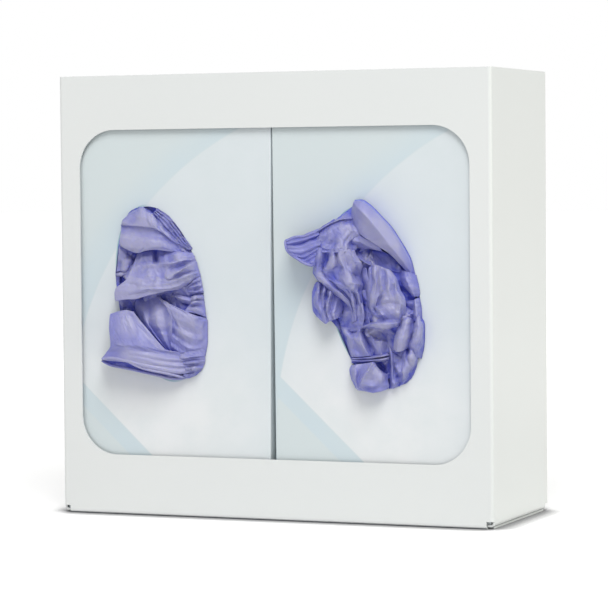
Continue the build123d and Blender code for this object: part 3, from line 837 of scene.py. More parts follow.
# %% Folds of the left glove
left_folds = {
    "lining": fold(
        [(126, 222, -1), (142, 213, -2), (156, 218, -1), (172, 230, -1), (186, 246, -1)],
        [(120, 240, 1), (140, 238, 4), (160, 238, 3), (178, 246, 0), (191, 252, -1)],
        [(118, 258, 0), (136, 258, 0), (158, 257, 1), (178, 256, 1), (194, 258, -1)],
        [(116.5, 274, -1), (136, 273, 4), (158, 270, 3), (180, 266, 1), (197, 268, -1)],
        [(117, 283, -2), (134, 280, 1), (158, 280, 3), (180, 276, 1), (198, 275, -1)],
        [(118, 290, 5), (136, 290, 6), (160, 286, 5), (182, 282, 2), (200, 284, -1)],
        [(120, 305, 0), (140, 302, -1), (164, 298, -1), (186, 300, 0), (203, 302, -1)],
        [(122, 320, 1), (142, 320, 0), (166, 322, 2), (186, 322, 3), (205, 322, -1)],
        [(120, 340, 3), (146, 340, 1), (168, 342, 2), (186, 342, 2), (205, 342, -1)],
        [(126, 356, 6), (150, 358, 5), (172, 358, 2), (190, 358, 1), (203, 358, -1)],
        [(150, 372, 4), (165, 374, 3), (180, 374, 2), (192, 372, -1)],
        crisp=0.3, crumple=1.3,
    ),
    "crown wrinkles": fold(
        [(157, 208.5, -2), (168, 216, -2), (178, 228, -2), (186, 240, -2), (191.9, 248.5, 0.7)],
        [(156.5, 210, 1.5), (167, 217.5, 1.5), (177, 229, 1), (185, 240.5, 0.5), (191.4, 248.8, 0.7)],
        [(156, 211, 0.5), (166, 218.5, 0.6), (175.8, 230, 0.3), (184, 241, 0), (191.2, 248.9, 0.7)],
        [(155, 211.5, 2), (164.8, 219.5, 2.5), (174.5, 231, 2), (183.3, 241.8, 1), (190.9, 249, 0.7)],
        [(154.5, 212.5, 1), (163.5, 220.8, 1.4), (173.2, 232, 1), (182.2, 242.5, 0.5), (190.7, 249.2, 0.7)],
        [(154, 213, 2.5), (162.3, 222, 3), (172, 233, 2.5), (181, 243.2, 1.5), (190.4, 249.3, 0.7)],
        [(153.5, 213.5, 1.2), (161, 223, 1.9), (170.5, 234, 1.5), (180, 244, 0.9), (190.2, 249.5, 0.7)],
        [(152, 213.5, 2), (159.5, 224, 3), (169, 235, 2.5), (179, 244.8, 1.5), (189.9, 249.7, 0.7)],
        crisp=0.9, crumple=0.5, kinked=0.4,
    ),
    "top fold": fold(
        [(122, 224, 2), (130, 212, 0), (141, 207.5, -1), (150, 211, 0), (158, 221, 1), (167, 232, 1),
         (178, 243, 0), (189, 248, -2)],
        [(121.5, 224.5, 4), (129, 214.5, 5), (140, 210, 6), (149, 213, 7), (157, 222, 7), (165, 232, 6),
         (176, 242, 3.5), (188, 247.5, 0.5)],
        [(121.5, 224.8, 5), (130, 219, 7), (140, 216.5, 9), (149, 219, 9), (156, 226, 8.5), (164, 233, 7),
         (174, 241.5, 4), (188, 248.5, 0)],
        [(121.7, 225, 6), (130, 225.3, 8), (141, 226, 9.5), (152, 227.5, 9), (159, 230.5, 8), (166, 235.5, 6),
         (174, 242.5, 3), (187, 249.5, -1)],
        crisp=0.6, crumple=0.4,
    ),
    "smooth roll": fold(
        [(122, 223.5, 4), (131, 224, 6), (141, 224.7, 7), (152, 226.2, 7), (160, 229.8, 5.5), (168, 235.5, 4),
         (178, 243, 1.5), (189, 250, -1)],
        [(121.5, 232, 6), (131, 233, 7), (141, 234, 7.5), (152, 235, 7.5), (161, 237, 6.5), (169, 241, 4),
         (178, 247, 1.5), (190, 251.5, -1)],
        [(120.5, 238, 8), (131, 239.5, 10), (141, 240.5, 11), (152, 241, 11), (162, 242, 9), (170, 245, 5),
         (179, 249, 2), (190, 252, -1.5)],
        [(120, 244, 8), (129, 247, 10), (139, 248, 11), (152, 246.5, 11), (162, 247, 9.5), (171, 249, 6),
         (180, 251, 2), (191, 253, -1.5)],
        [(121, 246, 6), (129, 250, 8), (138, 252.5, 9), (146, 250.5, 9.5), (156, 249.5, 9), (168, 251, 6.5),
         (180, 252, 2), (191, 253.5, -2)],
        crisp=0.25, crumple=0.35,
    ),
    "left inner": fold(
        [(119.8, 245, 1), (122, 247, 2.5), (126, 249, 2.5), (130, 250.5, 1), (137, 253, 0)],
        [(119, 252, 0), (121, 252, 3), (125, 254.5, 3.5), (129.5, 252, -1), (135, 254, -1)],
        [(118, 258, 0), (120.5, 258, 3), (126, 258, 4), (131, 257.5, 0), (134.5, 259, -0.5)],
        [(117.5, 262, -1), (119.5, 261, 2), (125, 260.5, 5), (130, 260.5, 4), (133.5, 261.5, 1)],
        [(116.7, 267, -1), (119.5, 266, 1.5), (124, 266, 4.5), (128.5, 266, 4.5), (131.5, 267, 2)],
        [(116.3, 271.5, 0), (119.5, 270.5, 2.5), (123.5, 270.5, 3.8), (127.5, 270, 3.8), (130, 269.5, 2)],
        [(116.2, 272.8, -1), (119.5, 272.3, 0), (123, 272.3, 0), (126.5, 271.8, 0.5), (129, 271.5, 0)],
        [(116.2, 274, 2), (119.5, 274.2, 3.5), (123, 274, 3.8), (126, 273.8, 3), (127.5, 273.5, 2)],
        [(116.4, 276.3, 0), (119.5, 276.3, 1), (122.5, 276.3, 1), (125, 276, 1), (127, 275.8, 0)],
        crisp=0.85, crumple=0.5, kinked=0.8,
    ),
    "sweep": fold(
        [(138, 253.5, 2), (142, 252, 3), (147, 251, 3), (151, 250.5, 3), (155.5, 250, 0), (160, 250, 2.5),
         (165, 251, 2.5), (170, 251, 3.5), (178, 251.5, 4), (186, 253, 3), (192.9, 253.5, 0.7)],
        [(136, 258.5, 4), (142, 257, 5.5), (147, 256.5, 5.5), (152, 256, 5.5), (156, 256, 0.5), (160, 256, 5),
         (164, 255.5, 6), (168, 255.5, 5), (176, 255, 6.5), (186, 256, 4.5), (194.2, 256.5, 0.7)],
        [(134, 264, 5.5), (141, 262, 6), (147, 261.5, 6), (152.5, 261, 6), (156.5, 261, 1), (160, 261, 6),
         (165, 260.5, 7), (168.5, 260.5, 6), (176, 259.5, 7), (186, 258.3, 5), (194.5, 258, 1)],
        [(133, 267.5, 7.5), (142, 265.8, 8.5), (147, 265, 8.8), (152, 264.4, 8.8), (156.8, 264, 7),
         (161, 263.8, 8.8), (166, 263.5, 8.8), (172, 263, 8.5), (180, 261.7, 7), (187, 260.3, 5.5),
         (194.9, 259, 1.5)],
        [(131.5, 270, 8), (141, 269.5, 8.5), (147, 269, 8.3), (152, 268.5, 8), (157, 268, 7.5),
         (161.5, 267.5, 7.5), (166, 267, 7.4), (172, 265.5, 6.8), (180, 263.5, 5.3), (187, 261.8, 4.2),
         (195.2, 260, 1)],
        [(130, 272.5, 8.5), (140, 273, 9), (146, 273, 8.8), (152, 272.5, 8.5), (157, 272, 8),
         (162, 271.5, 7.5), (167, 270, 7), (173, 268.3, 5.5), (180, 265.7, 4.3), (187, 263.3, 3.7),
         (195.5, 261, 1)],
        [(129, 275.5, 9), (138, 277, 10), (145, 277.3, 10), (152, 277, 9.5), (158, 277, 9), (163, 277.5, 8.8),
         (169, 277.8, 10.3), (175, 273.8, 10), (181.5, 270, 9), (188, 265.3, 7), (196.2, 262, 1.5)],
        [(128, 278, 9.8), (138, 279.5, 10.8), (145, 279.8, 11), (152, 279.6, 10.8), (158, 279.6, 10.5),
         (164, 280, 10), (170, 279, 9.3), (176, 276, 7.3), (183, 273, 6), (190, 269.5, 5), (197.7, 268, 1.2)],
        [(126, 280.5, 10.5), (137, 282, 11.2), (144, 282.3, 11.3), (151, 282, 11.3), (157, 282, 11.2),
         (164, 281.5, 10.5), (171, 280, 9), (177.5, 277.5, 6.8), (184, 274.5, 5), (191, 272, 3.6),
         (198.7, 271, 1)],
        [(123, 283, 11.3), (135, 284.5, 11), (143, 285, 12), (150, 284.8, 12), (157, 284.5, 12),
         (164, 283.5, 11.5), (171.5, 281.8, 11), (178.5, 279, 10), (185.5, 276, 8.6), (192, 273.7, 6),
         (199.2, 273, 1)],
        [(119.5, 285.5, 12), (133, 286.5, 12), (142, 287.6, 12), (150, 287.3, 12), (157, 287, 11.8),
         (164, 286.3, 11.3), (172, 285, 10), (179, 282.5, 8.3), (186, 279, 6.8), (192.5, 276, 4.5),
         (199.8, 274.3, 0.8)],
        [(116, 288.5, 12.5), (130, 291.5, 13), (140, 290, 13.3), (149, 288.8, 13), (157, 288.8, 12.5),
         (164, 288.8, 11.8), (172, 288.3, 10.3), (179, 286, 8.3), (185.5, 282, 6.5), (192, 278.5, 4),
         (200, 275.2, 0.7)],
        [(115, 293, 12.5), (127, 295.5, 12.5), (138, 293.5, 11.8), (148, 291.3, 11.3), (157, 290.8, 11),
         (164, 290, 10.3), (172, 289.3, 8.5), (179, 287.6, 6.8), (185.5, 284, 5), (191.5, 280, 2.8),
         (200.2, 275.8, 0.7)],
        [(115.5, 300.5, 12), (126, 299, 12.5), (136, 298.7, 12.3), (146, 295.7, 11.8), (157, 293, 10.8),
         (165, 290.8, 9.8), (172, 290, 8), (179, 288.8, 6), (185.5, 285.5, 4), (191.5, 281.3, 2),
         (200.2, 276.5, 0.7)],
        crisp=0.9, crumple=0.36, kinked=0.5,
    ),
    "right pocket": fold(
        [(200.2, 276.5, 0.7), (194, 279, 0.5), (188, 283, 0), (182, 288.5, 0)],
        [(200.7, 279, 1.5), (194, 281.5, 3.5), (189.5, 284.5, 2.5), (184, 288.5, 0.5)],
        [(201.2, 281.5, 0.7), (194.5, 283.5, 1.5), (190, 286, 1.5), (185, 289, 0.3)],
        [(201.7, 284.5, 2), (195, 286.5, 4.5), (190.5, 287.8, 3.5), (186, 289.5, 1)],
        [(202.2, 287, 0.7), (195.5, 289, 2), (191, 289.5, 2), (187, 290.2, 0.5)],
        [(202.7, 290, 2), (196, 292, 4), (191.5, 292, 3), (187, 291.5, 1)],
        [(203.2, 292.5, 0.7), (196.5, 294.5, 0.5), (192, 294, 1), (186, 292.2, 0)],
        crisp=0.85, crumple=0.5, kinked=0.5,
    ),
    "palm fan": fold(
        [(135, 300, 0), (137, 313, 1), (146, 328, 3.5), (158, 343, 4.5), (170.5, 354.5, 3)],
        [(141, 299, 0), (143, 311, 4), (149, 326, 6), (160, 341, 6), (171, 354, 4)],
        [(148, 297.5, -1), (149, 312, 3), (150.5, 327, 4.3), (161, 342.5, 4.6), (171.3, 354, 3)],
        [(153, 296.5, 0), (156, 310, 5.5), (158, 325, 7.5), (165, 340, 6.5), (172, 353.5, 3.5)],
        [(160, 294, -1), (163, 309, 4.6), (165.5, 325, 5.8), (168, 339, 5), (173, 353, 2.4)],
        [(158, 297, 2), (170, 305, 7.5), (172, 318, 8), (172, 335, 6.5), (175, 352, 3)],
        crisp=0.6, crumple=0.26,
    ),
    "flat panel": fold(
        [(157, 297, 2.5), (170, 304.3, 7.5), (184, 311, 8), (196, 316, 5.5), (206.7, 318.5, 1)],
        [(166, 306, 8), (174, 311, 8.5), (186, 316, 8), (197, 320, 5.5), (207.2, 322, 1)],
        [(169, 313, 8), (176, 318, 8.5), (187, 323, 8), (198, 327, 5), (207.2, 327, 0.7)],
        [(171, 321, 7.3), (178, 325.5, 6.9), (188, 331.5, 5.8), (198, 334.5, 3.9), (207.2, 333, 0.7)],
        [(171.5, 326, 7), (178, 330, 7.5), (187, 336, 7), (197, 339.5, 5), (207.2, 338, 0.7)],
        [(171, 332, 5.3), (177, 336.5, 5.4), (185, 342, 5.5), (195, 345.5, 4.1), (207.2, 343, 0.7)],
        [(171, 335.5, 6), (176, 340, 6.5), (184, 346.5, 6.8), (194, 349, 5), (206.7, 346, 0.7)],
        [(171, 341, 4.8), (176, 345.5, 5), (183, 350.5, 5.4), (193, 353, 3.8), (206, 350, 0.7)],
        [(171, 346, 5.5), (176, 350, 5.5), (183, 353.5, 5.5), (193, 355, 4), (205.5, 353, 0.7)],
        [(172, 352, 2.5), (177, 354, 3), (184, 356, 3.5), (193, 357.5, 2.5), (204.7, 356.5, 0.7)],
        crisp=0.75, crumple=0.32,
    ),
    "bright sliver": fold(
        [(172, 294, 1), (180, 295.5, 3), (191, 298.5, 3)],
        [(174, 296, 3), (182, 299, 4.5), (191, 301, 4)],
        [(176, 298, 1), (182, 302, 2), (191, 304.5, 2)],
        crisp=0.8, crumple=0.4, kinked=0.6,
    ),
    "right star": fold(
        [(191, 297, 1), (196, 295.5, 3), (203.2, 295, 1)],
        [(191.5, 299.5, 5.5), (197, 297.5, 5.5), (203.5, 297.5, 2)],
        [(191.5, 301, 2.5), (197, 299.3, 2.5), (203.7, 300, 0.7)],
        [(191.5, 303, 6), (196, 301.5, 5), (204, 303, 1)],
        [(189, 306, 4), (197, 305.5, 2), (204.7, 308, 0.7)],
        [(186, 309.5, 6), (195, 308, 6.5), (205.2, 313, 2)],
        [(186, 311.5, 6.5), (196, 313, 5), (206.2, 317, 1)],
        crisp=0.95, crumple=0.4, kinked=0.8,
    ),
    "cuff": fold(
        [(110.5, 314.5, 13.5), (118, 312, 13.5), (126, 310.5, 13), (134, 312, 10.5)],
        [(110, 318, 16.5), (118, 317, 16.8), (128, 316, 16), (139, 319.5, 12)],
        [(109.5, 328, 18.3), (120, 328, 18.8), (133, 328, 17.3), (147, 329, 12)],
        [(110.5, 338, 19), (122, 338, 20), (138, 338, 18), (156, 340, 12)],
        [(111, 344, 19), (124, 344.5, 20.5), (142, 346, 18), (165, 349.5, 10.5)],
        [(109.5, 349, 18), (124, 348.5, 19.6), (142, 351.5, 16.2), (160, 354.5, 11.8), (180, 356.5, 6.4),
         (204.2, 355, 0.7)],
        [(107, 352, 17.2), (124, 351.5, 19), (142, 354.5, 16.9), (160, 357.8, 13), (180, 360, 7.8),
         (204.7, 358, 1)],
        [(105.5, 354.5, 17.3), (124, 354, 18.9), (142, 357, 16.8), (160, 360.5, 12.3), (180, 362.5, 6.7),
         (204.7, 360, 0.7)],
        [(103.5, 356.8, 17.6), (124, 356.8, 18.9), (142, 359, 17.1), (160, 364, 13), (180, 365.8, 8),
         (204.2, 363.5, 1)],
        [(102.5, 358, 17.6), (125, 359, 18.7), (142, 363.5, 16.5), (160, 366.5, 12.3), (180, 368.5, 6.9),
         (203.2, 366, 0.7)],
        [(102, 358.8, 17.8), (128, 361, 18.7), (142, 365, 16.8), (160, 368.5, 13), (180, 371.5, 8),
         (201.7, 369, 1)],
        [(102, 359.5, 17.5), (130, 362.5, 18.3), (144, 367, 16.3), (160, 370.5, 12.8), (180, 373.5, 7.5),
         (200.2, 371, 0.7)],
        crisp=0.7, crumple=0.2,
    ),
    "cuff back": fold(
        [(106, 359, 12), (125, 361, 11), (145, 366, 9), (165, 370, 7), (183, 374, 3)],
        [(102, 361, 13), (110, 364.8, 13), (125, 368, 12), (141, 371.5, 11), (160, 376, 9), (171, 378.5, 7),
         (184, 378.5, 3)],
        crisp=0.4, crumple=0.7,
    ),
    "gather": fold(
        [(178, 353.5, 4.5), (190, 350.5, 4.2), (204.7, 347.5, 0.7)],
        [(180, 358.5, 8), (192, 357, 7), (204.2, 356, 1.5)],
        [(182, 360.5, 4.5), (193, 359.5, 3), (204.2, 358.5, 0.7)],
        [(184, 363.5, 8), (194, 362.5, 7), (204.2, 361.5, 1.5)],
        [(186, 366, 4.5), (195, 365, 3), (203.7, 364.5, 0.7)],
        [(186, 368.5, 8), (194.5, 368, 7), (202.7, 367.5, 1.5)],
        [(185, 371.5, 4), (193, 371.5, 3), (200.7, 370.5, 0.7)],
        [(184, 374.5, 5.5), (191, 374.5, 5), (198.2, 373, 0.7)],
        [(184, 378, 3), (190, 377.5, 2), (196.2, 375, 0.7)],
        crisp=0.85, crumple=0.5,
    ),
}
left_rims = {
    "cuff rim": [(102, 359, 17.5), (110, 358, 18.5), (120, 359.3, 18.5), (128, 361.5, 18), (134, 364.5, 17),
        (142, 368, 15.5), (152, 370.5, 14), (165, 373, 11), (180, 376.5, 6), (186, 378, 2)],
    "cuff back rim": [(102, 361, 13), (110, 364.8, 13), (125, 368, 12), (141, 371.5, 11), (160, 376, 9),
        (171, 378.5, 7), (184, 378.5, 3)],
}

# %% [markdown]
# ## The right glove
#
# The right glove came out fingers last: its cuff spreads in pleats to the upper left, the smooth back of the hand
# stands like a leaf at the top right, and the palm and the fingers hang down in a narrow bunch. Most rows here run
# from top to bottom.

# %% Folds of the right glove
right_folds = {
    "lining": fold(
        [(348, 222, 1), (360, 216, 0), (372, 222, -1), (384, 234, -1.5)],
        [(345, 240, 4), (358, 245, 3), (375, 250, 0), (398, 256, -1)],
        [(330, 262, 6), (348, 266, 6), (366, 268, 3), (384, 268, 4), (406, 272, 0)],
        [(322, 282, 5), (342, 284, 8), (362, 284, 3), (384, 286, 8), (412, 288, 0)],
        [(320, 300, 5), (342, 302, 2), (360, 302, 5), (384, 302, 9), (416, 303, -0.5)],
        [(330, 318, 2), (346, 318, 1), (362, 318, 4), (384, 318, 7), (418, 318, 0)],
        [(341, 332, -1), (352, 334, 1), (368, 336, 0), (390, 336, 3), (420, 334, 0)],
        [(347, 348, -1), (360, 350, 2), (376, 352, 2), (396, 352, 3), (421, 350, 0)],
        [(353, 362, -1), (366, 366, 2), (380, 368, -1), (398, 366, 2), (416, 362, -1)],
        [(362, 378, 0), (376, 380, 2), (390, 378, 1), (406, 374, -1)],
        crisp=0.3, crumple=1.6,
    ),
    "fan": fold(
        [(286, 240, 17.19), (294, 236.6, 16.19), (303, 235.5, 15.19), (310, 232.5, 14.19), (318, 229.5, 12.69)],
        [(286, 241, 18.64), (294, 237.5, 17.59), (304, 236.3, 16.59), (311, 233.8, 15.59), (318.5, 231, 14.14)],
        [(286.3, 242, 17.88), (295, 239.2, 16.49), (305, 237.2, 15.5), (312, 235, 14.49),
         (318.5, 232.5, 13.39)],
        [(286.5, 243.3, 19.07), (296, 241.8, 17.86), (304, 240, 16.8), (311, 237.2, 15.85),
         (319, 234.8, 14.45)],
        [(287, 245, 18.02), (296, 245, 15.77), (303, 243, 14.36), (309, 240.3, 13.81), (318, 237, 12.76)],
        [(287.5, 247, 20.03), (298, 247, 18.42), (306, 244.5, 17.36), (313, 241.8, 16.87), (320, 239.5, 15.92)],
        [(288, 249, 19.34), (299, 249.5, 17.86), (307, 247.3, 16.86), (314, 244.3, 16.36), (320, 242.5, 15.81)],
        [(289, 251, 20.18), (300, 252, 18.58), (308, 249.8, 17.58), (315, 246.3, 17.08), (320, 245, 16.64)],
        [(291, 253.3, 19.27), (301, 255, 16.98), (309, 251.5, 15.97), (318, 246.5, 15.42), (321, 246.5, 15.32)],
        [(293, 255.3, 19.73), (302.5, 257, 18.02), (309.5, 254, 17.07), (316, 250.5, 16.17),
         (320, 249.5, 15.78)],
        [(296, 257, 18.76), (304, 259, 16.48), (309.5, 256, 15.93), (314, 252.5, 15.27), (319, 252, 15.17)],
        [(299, 259, 19.29), (305, 260.3, 17.57), (310, 258, 17.08), (315, 255, 15.79), (319, 254.5, 15.34)],
        [(303, 261.5, 18.62), (307.5, 262, 16.37), (311, 260, 15.87), (315, 256.8, 15.16), (319, 257, 14.66)],
        [(306, 263.2, 18.39), (309, 263, 17.24), (312, 262, 16.69), (315, 261, 15.39), (318, 260.5, 14.84)],
        [(309, 265, 17.59), (311, 265, 16.6), (313, 265.2, 15.64), (315, 265.4, 15.05), (316, 265.5, 14.09)],
        crisp=0.85, crumple=0.28,
    ),
    "top pleat": fold(
        [(334, 220.8, 7), (338, 217.8, 5), (343, 214.3, 3), (348, 210.8, 1.5), (353, 206.8, 0.7)],
        [(332, 221.5, 10), (337, 218.6, 8), (343, 215.8, 6.5), (349, 213.5, 5), (354, 212, 4)],
        [(316, 230.5, 13), (325, 225.5, 12), (333, 221.5, 11), (341, 218.5, 9.5), (352, 217, 7)],
        [(316.5, 231.5, 15), (325, 226.5, 14), (333, 222.3, 13), (341, 219.3, 11.5), (352, 218.2, 9)],
        [(317, 233, 13), (325, 228, 12), (333, 223.7, 11), (341, 220.6, 9.5), (352, 219.8, 7.5)],
        crisp=0.7, crumple=0.4,
    ),
    "shoulder": fold(
        [(317.5, 234, 12.3), (324, 228.8, 12.3), (330, 225, 11.8), (336, 222, 10.8), (343, 219.8, 9.3),
         (357, 219.5, 6.5)],
        [(317, 240, 15), (324, 236, 16), (331, 230.5, 16), (338, 226, 15), (345, 224.5, 13), (360, 226, 8)],
        [(316, 243, 15.5), (324, 241, 15), (331, 238, 16.5), (338, 234, 16.5), (345, 231, 14),
         (354, 231, 11.5), (363, 234, 9)],
        [(316, 246, 15), (323, 245, 16), (330, 244, 14.5), (337, 243, 16), (343, 240, 16.5), (349, 237, 13),
         (353, 237, 11), (362, 240, 8)],
        [(316, 249, 14.5), (322, 248, 17), (329, 249, 16), (336, 248, 17.5), (343, 247, 16.5),
         (349, 244, 13.5), (353, 243, 10), (358, 244, 7)],
        [(316, 252, 14), (322, 252, 16.5), (330, 252, 15.5), (337, 252, 17.5), (345, 252, 15.5), (355, 251, 8)],
        crisp=0.8, crumple=0.8, kinked=0.5,
    ),
    "leaf": fold(
        [(355, 200.3, 8), (363.3, 200.2, 6), (371.8, 206.3, 4), (382.2, 217, 2.5), (392.4, 228.2, 1.5),
         (403.4, 245.4, 1), (410.6, 258.6, 0.8), (415, 275, 0.6)],
        [(354.5, 201.5, 12.3), (362, 202.3, 13), (370.2, 208, 12.3), (380.5, 218.5, 11), (390.5, 230, 9.5),
         (401.5, 247, 7.5), (408.8, 260, 4.5), (413, 274.5, 0)],
        [(354, 202.5, 13), (360, 206, 15), (368.2, 213.5, 15.3), (377.5, 224, 15), (387.5, 235.5, 13.5),
         (397.5, 250, 10.5), (405.5, 262, 6.5), (412.5, 274.5, 0.3)],
        [(353.5, 203.5, 13), (358, 208, 15.5), (366.5, 216.5, 17), (374.5, 226, 17.5), (383.5, 237, 16.5),
         (392, 248.5, 13), (402, 260.5, 8), (412.3, 275, 0.5)],
        [(352, 209, 9.5), (355, 214, 11.5), (361, 222, 13), (367, 230, 14), (374, 238.5, 14), (382, 246, 12.5),
         (393, 256, 8.5), (411, 275, 1)],
        [(351.2, 214, 6.5), (353, 222, 8.5), (356, 229, 10), (362, 235, 11.5), (370, 240.5, 12.5),
         (379, 246.5, 12), (391, 255, 9), (410.5, 275, 1)],
        crisp=0.8, crumple=0.12,
    ),
    "under leaf": fold(
        [(352, 233, 9), (360, 236, 10), (370, 241.5, 10), (380, 247.5, 8)],
        [(352, 240, 10.5), (360, 243, 10), (370, 247, 8.5), (382, 251, 6)],
        [(352, 247, 6), (362, 248, 5), (372, 249, 4), (386, 253, 2)],
        crisp=0.7, crumple=0.3, kinked=0.5,
    ),
    "cavity floor": fold(
        [(352, 249, 3), (362, 248, 1), (374, 251, 0), (390, 254, 0), (398, 262, 0)],
        [(356, 256, 5), (366, 258, 3), (378, 260, 2), (390, 262, 2), (398, 266, 1)],
        [(362, 261, 7), (370, 265, 6), (380, 267.5, 5), (392, 270.5, 4), (400, 272, 2)],
        crisp=0.6, crumple=0.35,
    ),
    "hand": fold(
        [(315, 249, 14), (319, 248.5, 17), (323, 249, 15.5), (327, 249, 13.5), (330, 249, 16), (333, 249, 17),
         (336, 250, 15.5), (340, 249.5, 18), (345, 250, 15.5), (350, 250, 14.5), (355, 251, 10)],
        [(314.8, 255, 13.5), (318.5, 255, 17), (322.5, 255, 15.5), (327, 254.5, 12.5), (330, 255, 15.5),
         (333.5, 254.5, 17), (335.7, 255.5, 14.5), (338.5, 255, 17.5), (344.5, 255.5, 15), (351, 255, 15.5),
         (357, 257, 11)],
        [(314.3, 261, 13), (317.8, 261, 16.5), (322, 261, 15), (325.8, 261, 12), (329, 261, 15),
         (333.5, 261, 17), (337.3, 262, 13.8), (341, 261, 17.5), (346, 261.5, 14), (354, 261, 15.5),
         (361, 262, 11)],
        [(314, 266.5, 12.5), (317.2, 266.5, 15.5), (321, 266.5, 14), (324, 267, 11), (327.3, 267, 14.5),
         (333, 267, 16.5), (339, 267.5, 13.5), (343.8, 267, 17.5), (347, 265.5, 14), (355, 266.5, 14),
         (362, 266.5, 9)],
        [(313.3, 273, 11.5), (317, 272.5, 14.5), (320, 272.5, 13), (322.5, 272.5, 11), (325.5, 273.5, 14.5),
         (331, 274, 14), (338, 273, 15.5), (345, 271.5, 18), (349, 272, 15.5), (354, 275, 9), (359, 276, 6)],
        [(317.5, 279.5, 10.5), (320, 278.5, 13.5), (322.5, 278.5, 14), (325, 278, 12.5), (328, 278.5, 12.5),
         (332, 279, 14), (338, 279, 15.5), (345, 278, 17), (352, 278, 16.5), (356.5, 280.5, 13), (361, 281, 6)],
        [(322.5, 284, 11), (325, 283.5, 13.5), (328, 283.5, 14), (331, 281.5, 12), (334, 283.5, 14.5),
         (338, 283.5, 15.5), (343, 283, 16), (348, 283.5, 17), (354, 283.5, 17), (358.5, 284, 14.5),
         (362.5, 285, 7)],
        [(330, 290.5, 10.5), (331.5, 289, 13), (334, 288.5, 13.5), (336.5, 287, 11.5), (339.5, 288.5, 14),
         (343, 289, 15), (347, 289, 15.5), (351, 289, 16), (355, 289.5, 15), (358.5, 290, 12.5),
         (361.5, 290, 7)],
        [(340, 297.5, 9.5), (341, 295, 12), (342.5, 294, 12.5), (344, 293.5, 10.5), (346.5, 294.5, 13),
         (349, 294.5, 14), (352, 294.5, 13.5), (354, 294, 11), (356, 294.5, 12), (358.5, 295, 13),
         (361.5, 296, 6.5)],
        [(347, 304, 8), (347.7, 302, 10.5), (348.7, 300.5, 11), (349.8, 299.5, 9.5), (351, 300, 12),
         (352.5, 300, 13), (354.5, 300, 12.5), (356.5, 300, 9), (358, 300.5, 11.5), (360, 301, 12),
         (362.5, 302, 6)],
        [(351, 312, 6.5), (351.5, 311, 9), (352, 310, 9.5), (352.8, 309.5, 9), (353.5, 309.5, 10.5),
         (354.5, 309.5, 11), (356, 310, 10.5), (357.3, 310, 7.5), (359, 310.5, 10.5), (361, 311, 10.5),
         (363, 312, 5.5)],
        [(352, 323, 5), (352.5, 322, 7.5), (353.5, 321, 8), (354.2, 320.5, 8), (355, 320.5, 8.5),
         (356, 320.5, 8.5), (357, 321, 7), (358, 321, 5.5), (360, 321, 8), (362, 321.5, 8), (364, 323, 4)],
        crisp=0.92, crumple=0.55, kinked=0.75,
    ),
    "blue valley": fold(
        [(354, 272, 6), (357, 281, 7), (358, 292, 7), (357, 303, 8), (358, 315, 7.5), (360, 327, 6.5)],
        [(360, 269, 4), (362, 280, 4), (363, 292, 3.5), (364, 304, 2), (364, 316, 3), (366, 327, 5)],
        [(366, 268, 6), (368, 280, 7), (368, 292, 8.5), (367, 304, 6), (368, 316, 6), (371, 327, 8)],
        crisp=0.5, crumple=0.5,
    ),
    "middle": fold(
        [(369, 268, 7), (372, 266, 6.5), (375, 265.5, 11), (378, 266, 10), (380.5, 267, 11), (383, 268, 10.5),
         (386, 269, 11), (389, 270, 10.5), (391.5, 271.5, 9), (393, 273, 6)],
        [(368.5, 275, 7), (371, 275, 9), (374.5, 275, 12.5), (378, 275, 10.5), (381, 275, 12.5),
         (384.5, 275, 12), (388, 275, 13.5), (391.5, 276, 13), (394, 277, 11.5), (396.5, 278, 6)],
        [(368.5, 283, 8.5), (371.5, 283, 10.5), (375, 283, 13), (378.5, 283, 10.5), (381, 283, 12.5),
         (384.5, 284, 10.5), (388.5, 283, 14.5), (392, 283, 13.5), (395.5, 283, 13.5), (398, 284, 7)],
        [(368.5, 290, 9), (371.5, 290, 11.5), (375, 290, 13), (378.5, 290, 11), (382, 289, 13.5),
         (385, 289.5, 11), (388.5, 289.5, 14.5), (392, 290, 12.5), (396, 290, 12.5), (400, 290, 7.5)],
        [(368, 297, 8.5), (371, 297, 11), (374.5, 297, 12.5), (378, 297, 12), (380.5, 297.5, 10),
         (385, 296.5, 12.5), (390, 296, 14), (394, 296, 12), (399, 296, 14), (404, 297, 7.5)],
        [(368, 301, 8), (370.5, 301, 10.5), (373.5, 301, 12), (377, 301, 12.5), (379, 301.5, 9.5),
         (384, 299.8, 14), (390, 299.5, 13.5), (395, 300.5, 12), (400, 300.5, 14), (405, 301, 7.5)],
        [(368, 305, 7), (370, 305, 10), (372.5, 305, 11.5), (375.5, 305, 12), (377.5, 305, 9.5),
         (383, 303.5, 12), (389, 303, 12.5), (396, 303.5, 11), (401, 304.5, 14), (405.3, 306, 7.5)],
        [(370, 311, 6), (371.5, 311, 9), (373.3, 311, 10.5), (375, 310.5, 9), (378, 309.5, 13.5),
         (383, 309, 14), (389, 309, 13.5), (395, 309, 12.5), (400, 309.5, 14), (405, 311, 7)],
        [(373, 317, 6), (374, 316, 8.5), (375.5, 315.5, 11), (378, 315, 13), (382, 315, 14), (386, 315, 12.5),
         (391, 314.5, 13.5), (396, 313, 14), (400.5, 313, 13), (404.5, 315, 6)],
        [(374, 319.5, 5), (376, 318.5, 8), (379, 318, 9.5), (382, 318, 10), (386, 318.5, 10),
         (389.5, 319, 10.5), (393, 319.3, 11), (396, 319.5, 10.5), (400, 319, 9), (403, 319, 4)],
        [(372, 322, 6), (375, 321.5, 9), (379, 321.5, 11), (383, 321.5, 11.5), (387, 321.5, 11.5),
         (391, 321.5, 11), (394, 321.3, 11), (397, 321, 10.5), (400, 321, 9), (402, 321, 4)],
        [(366, 325, 8), (371, 324, 11.5), (376, 323.8, 13), (382, 323.8, 13.5), (387, 324, 13.5),
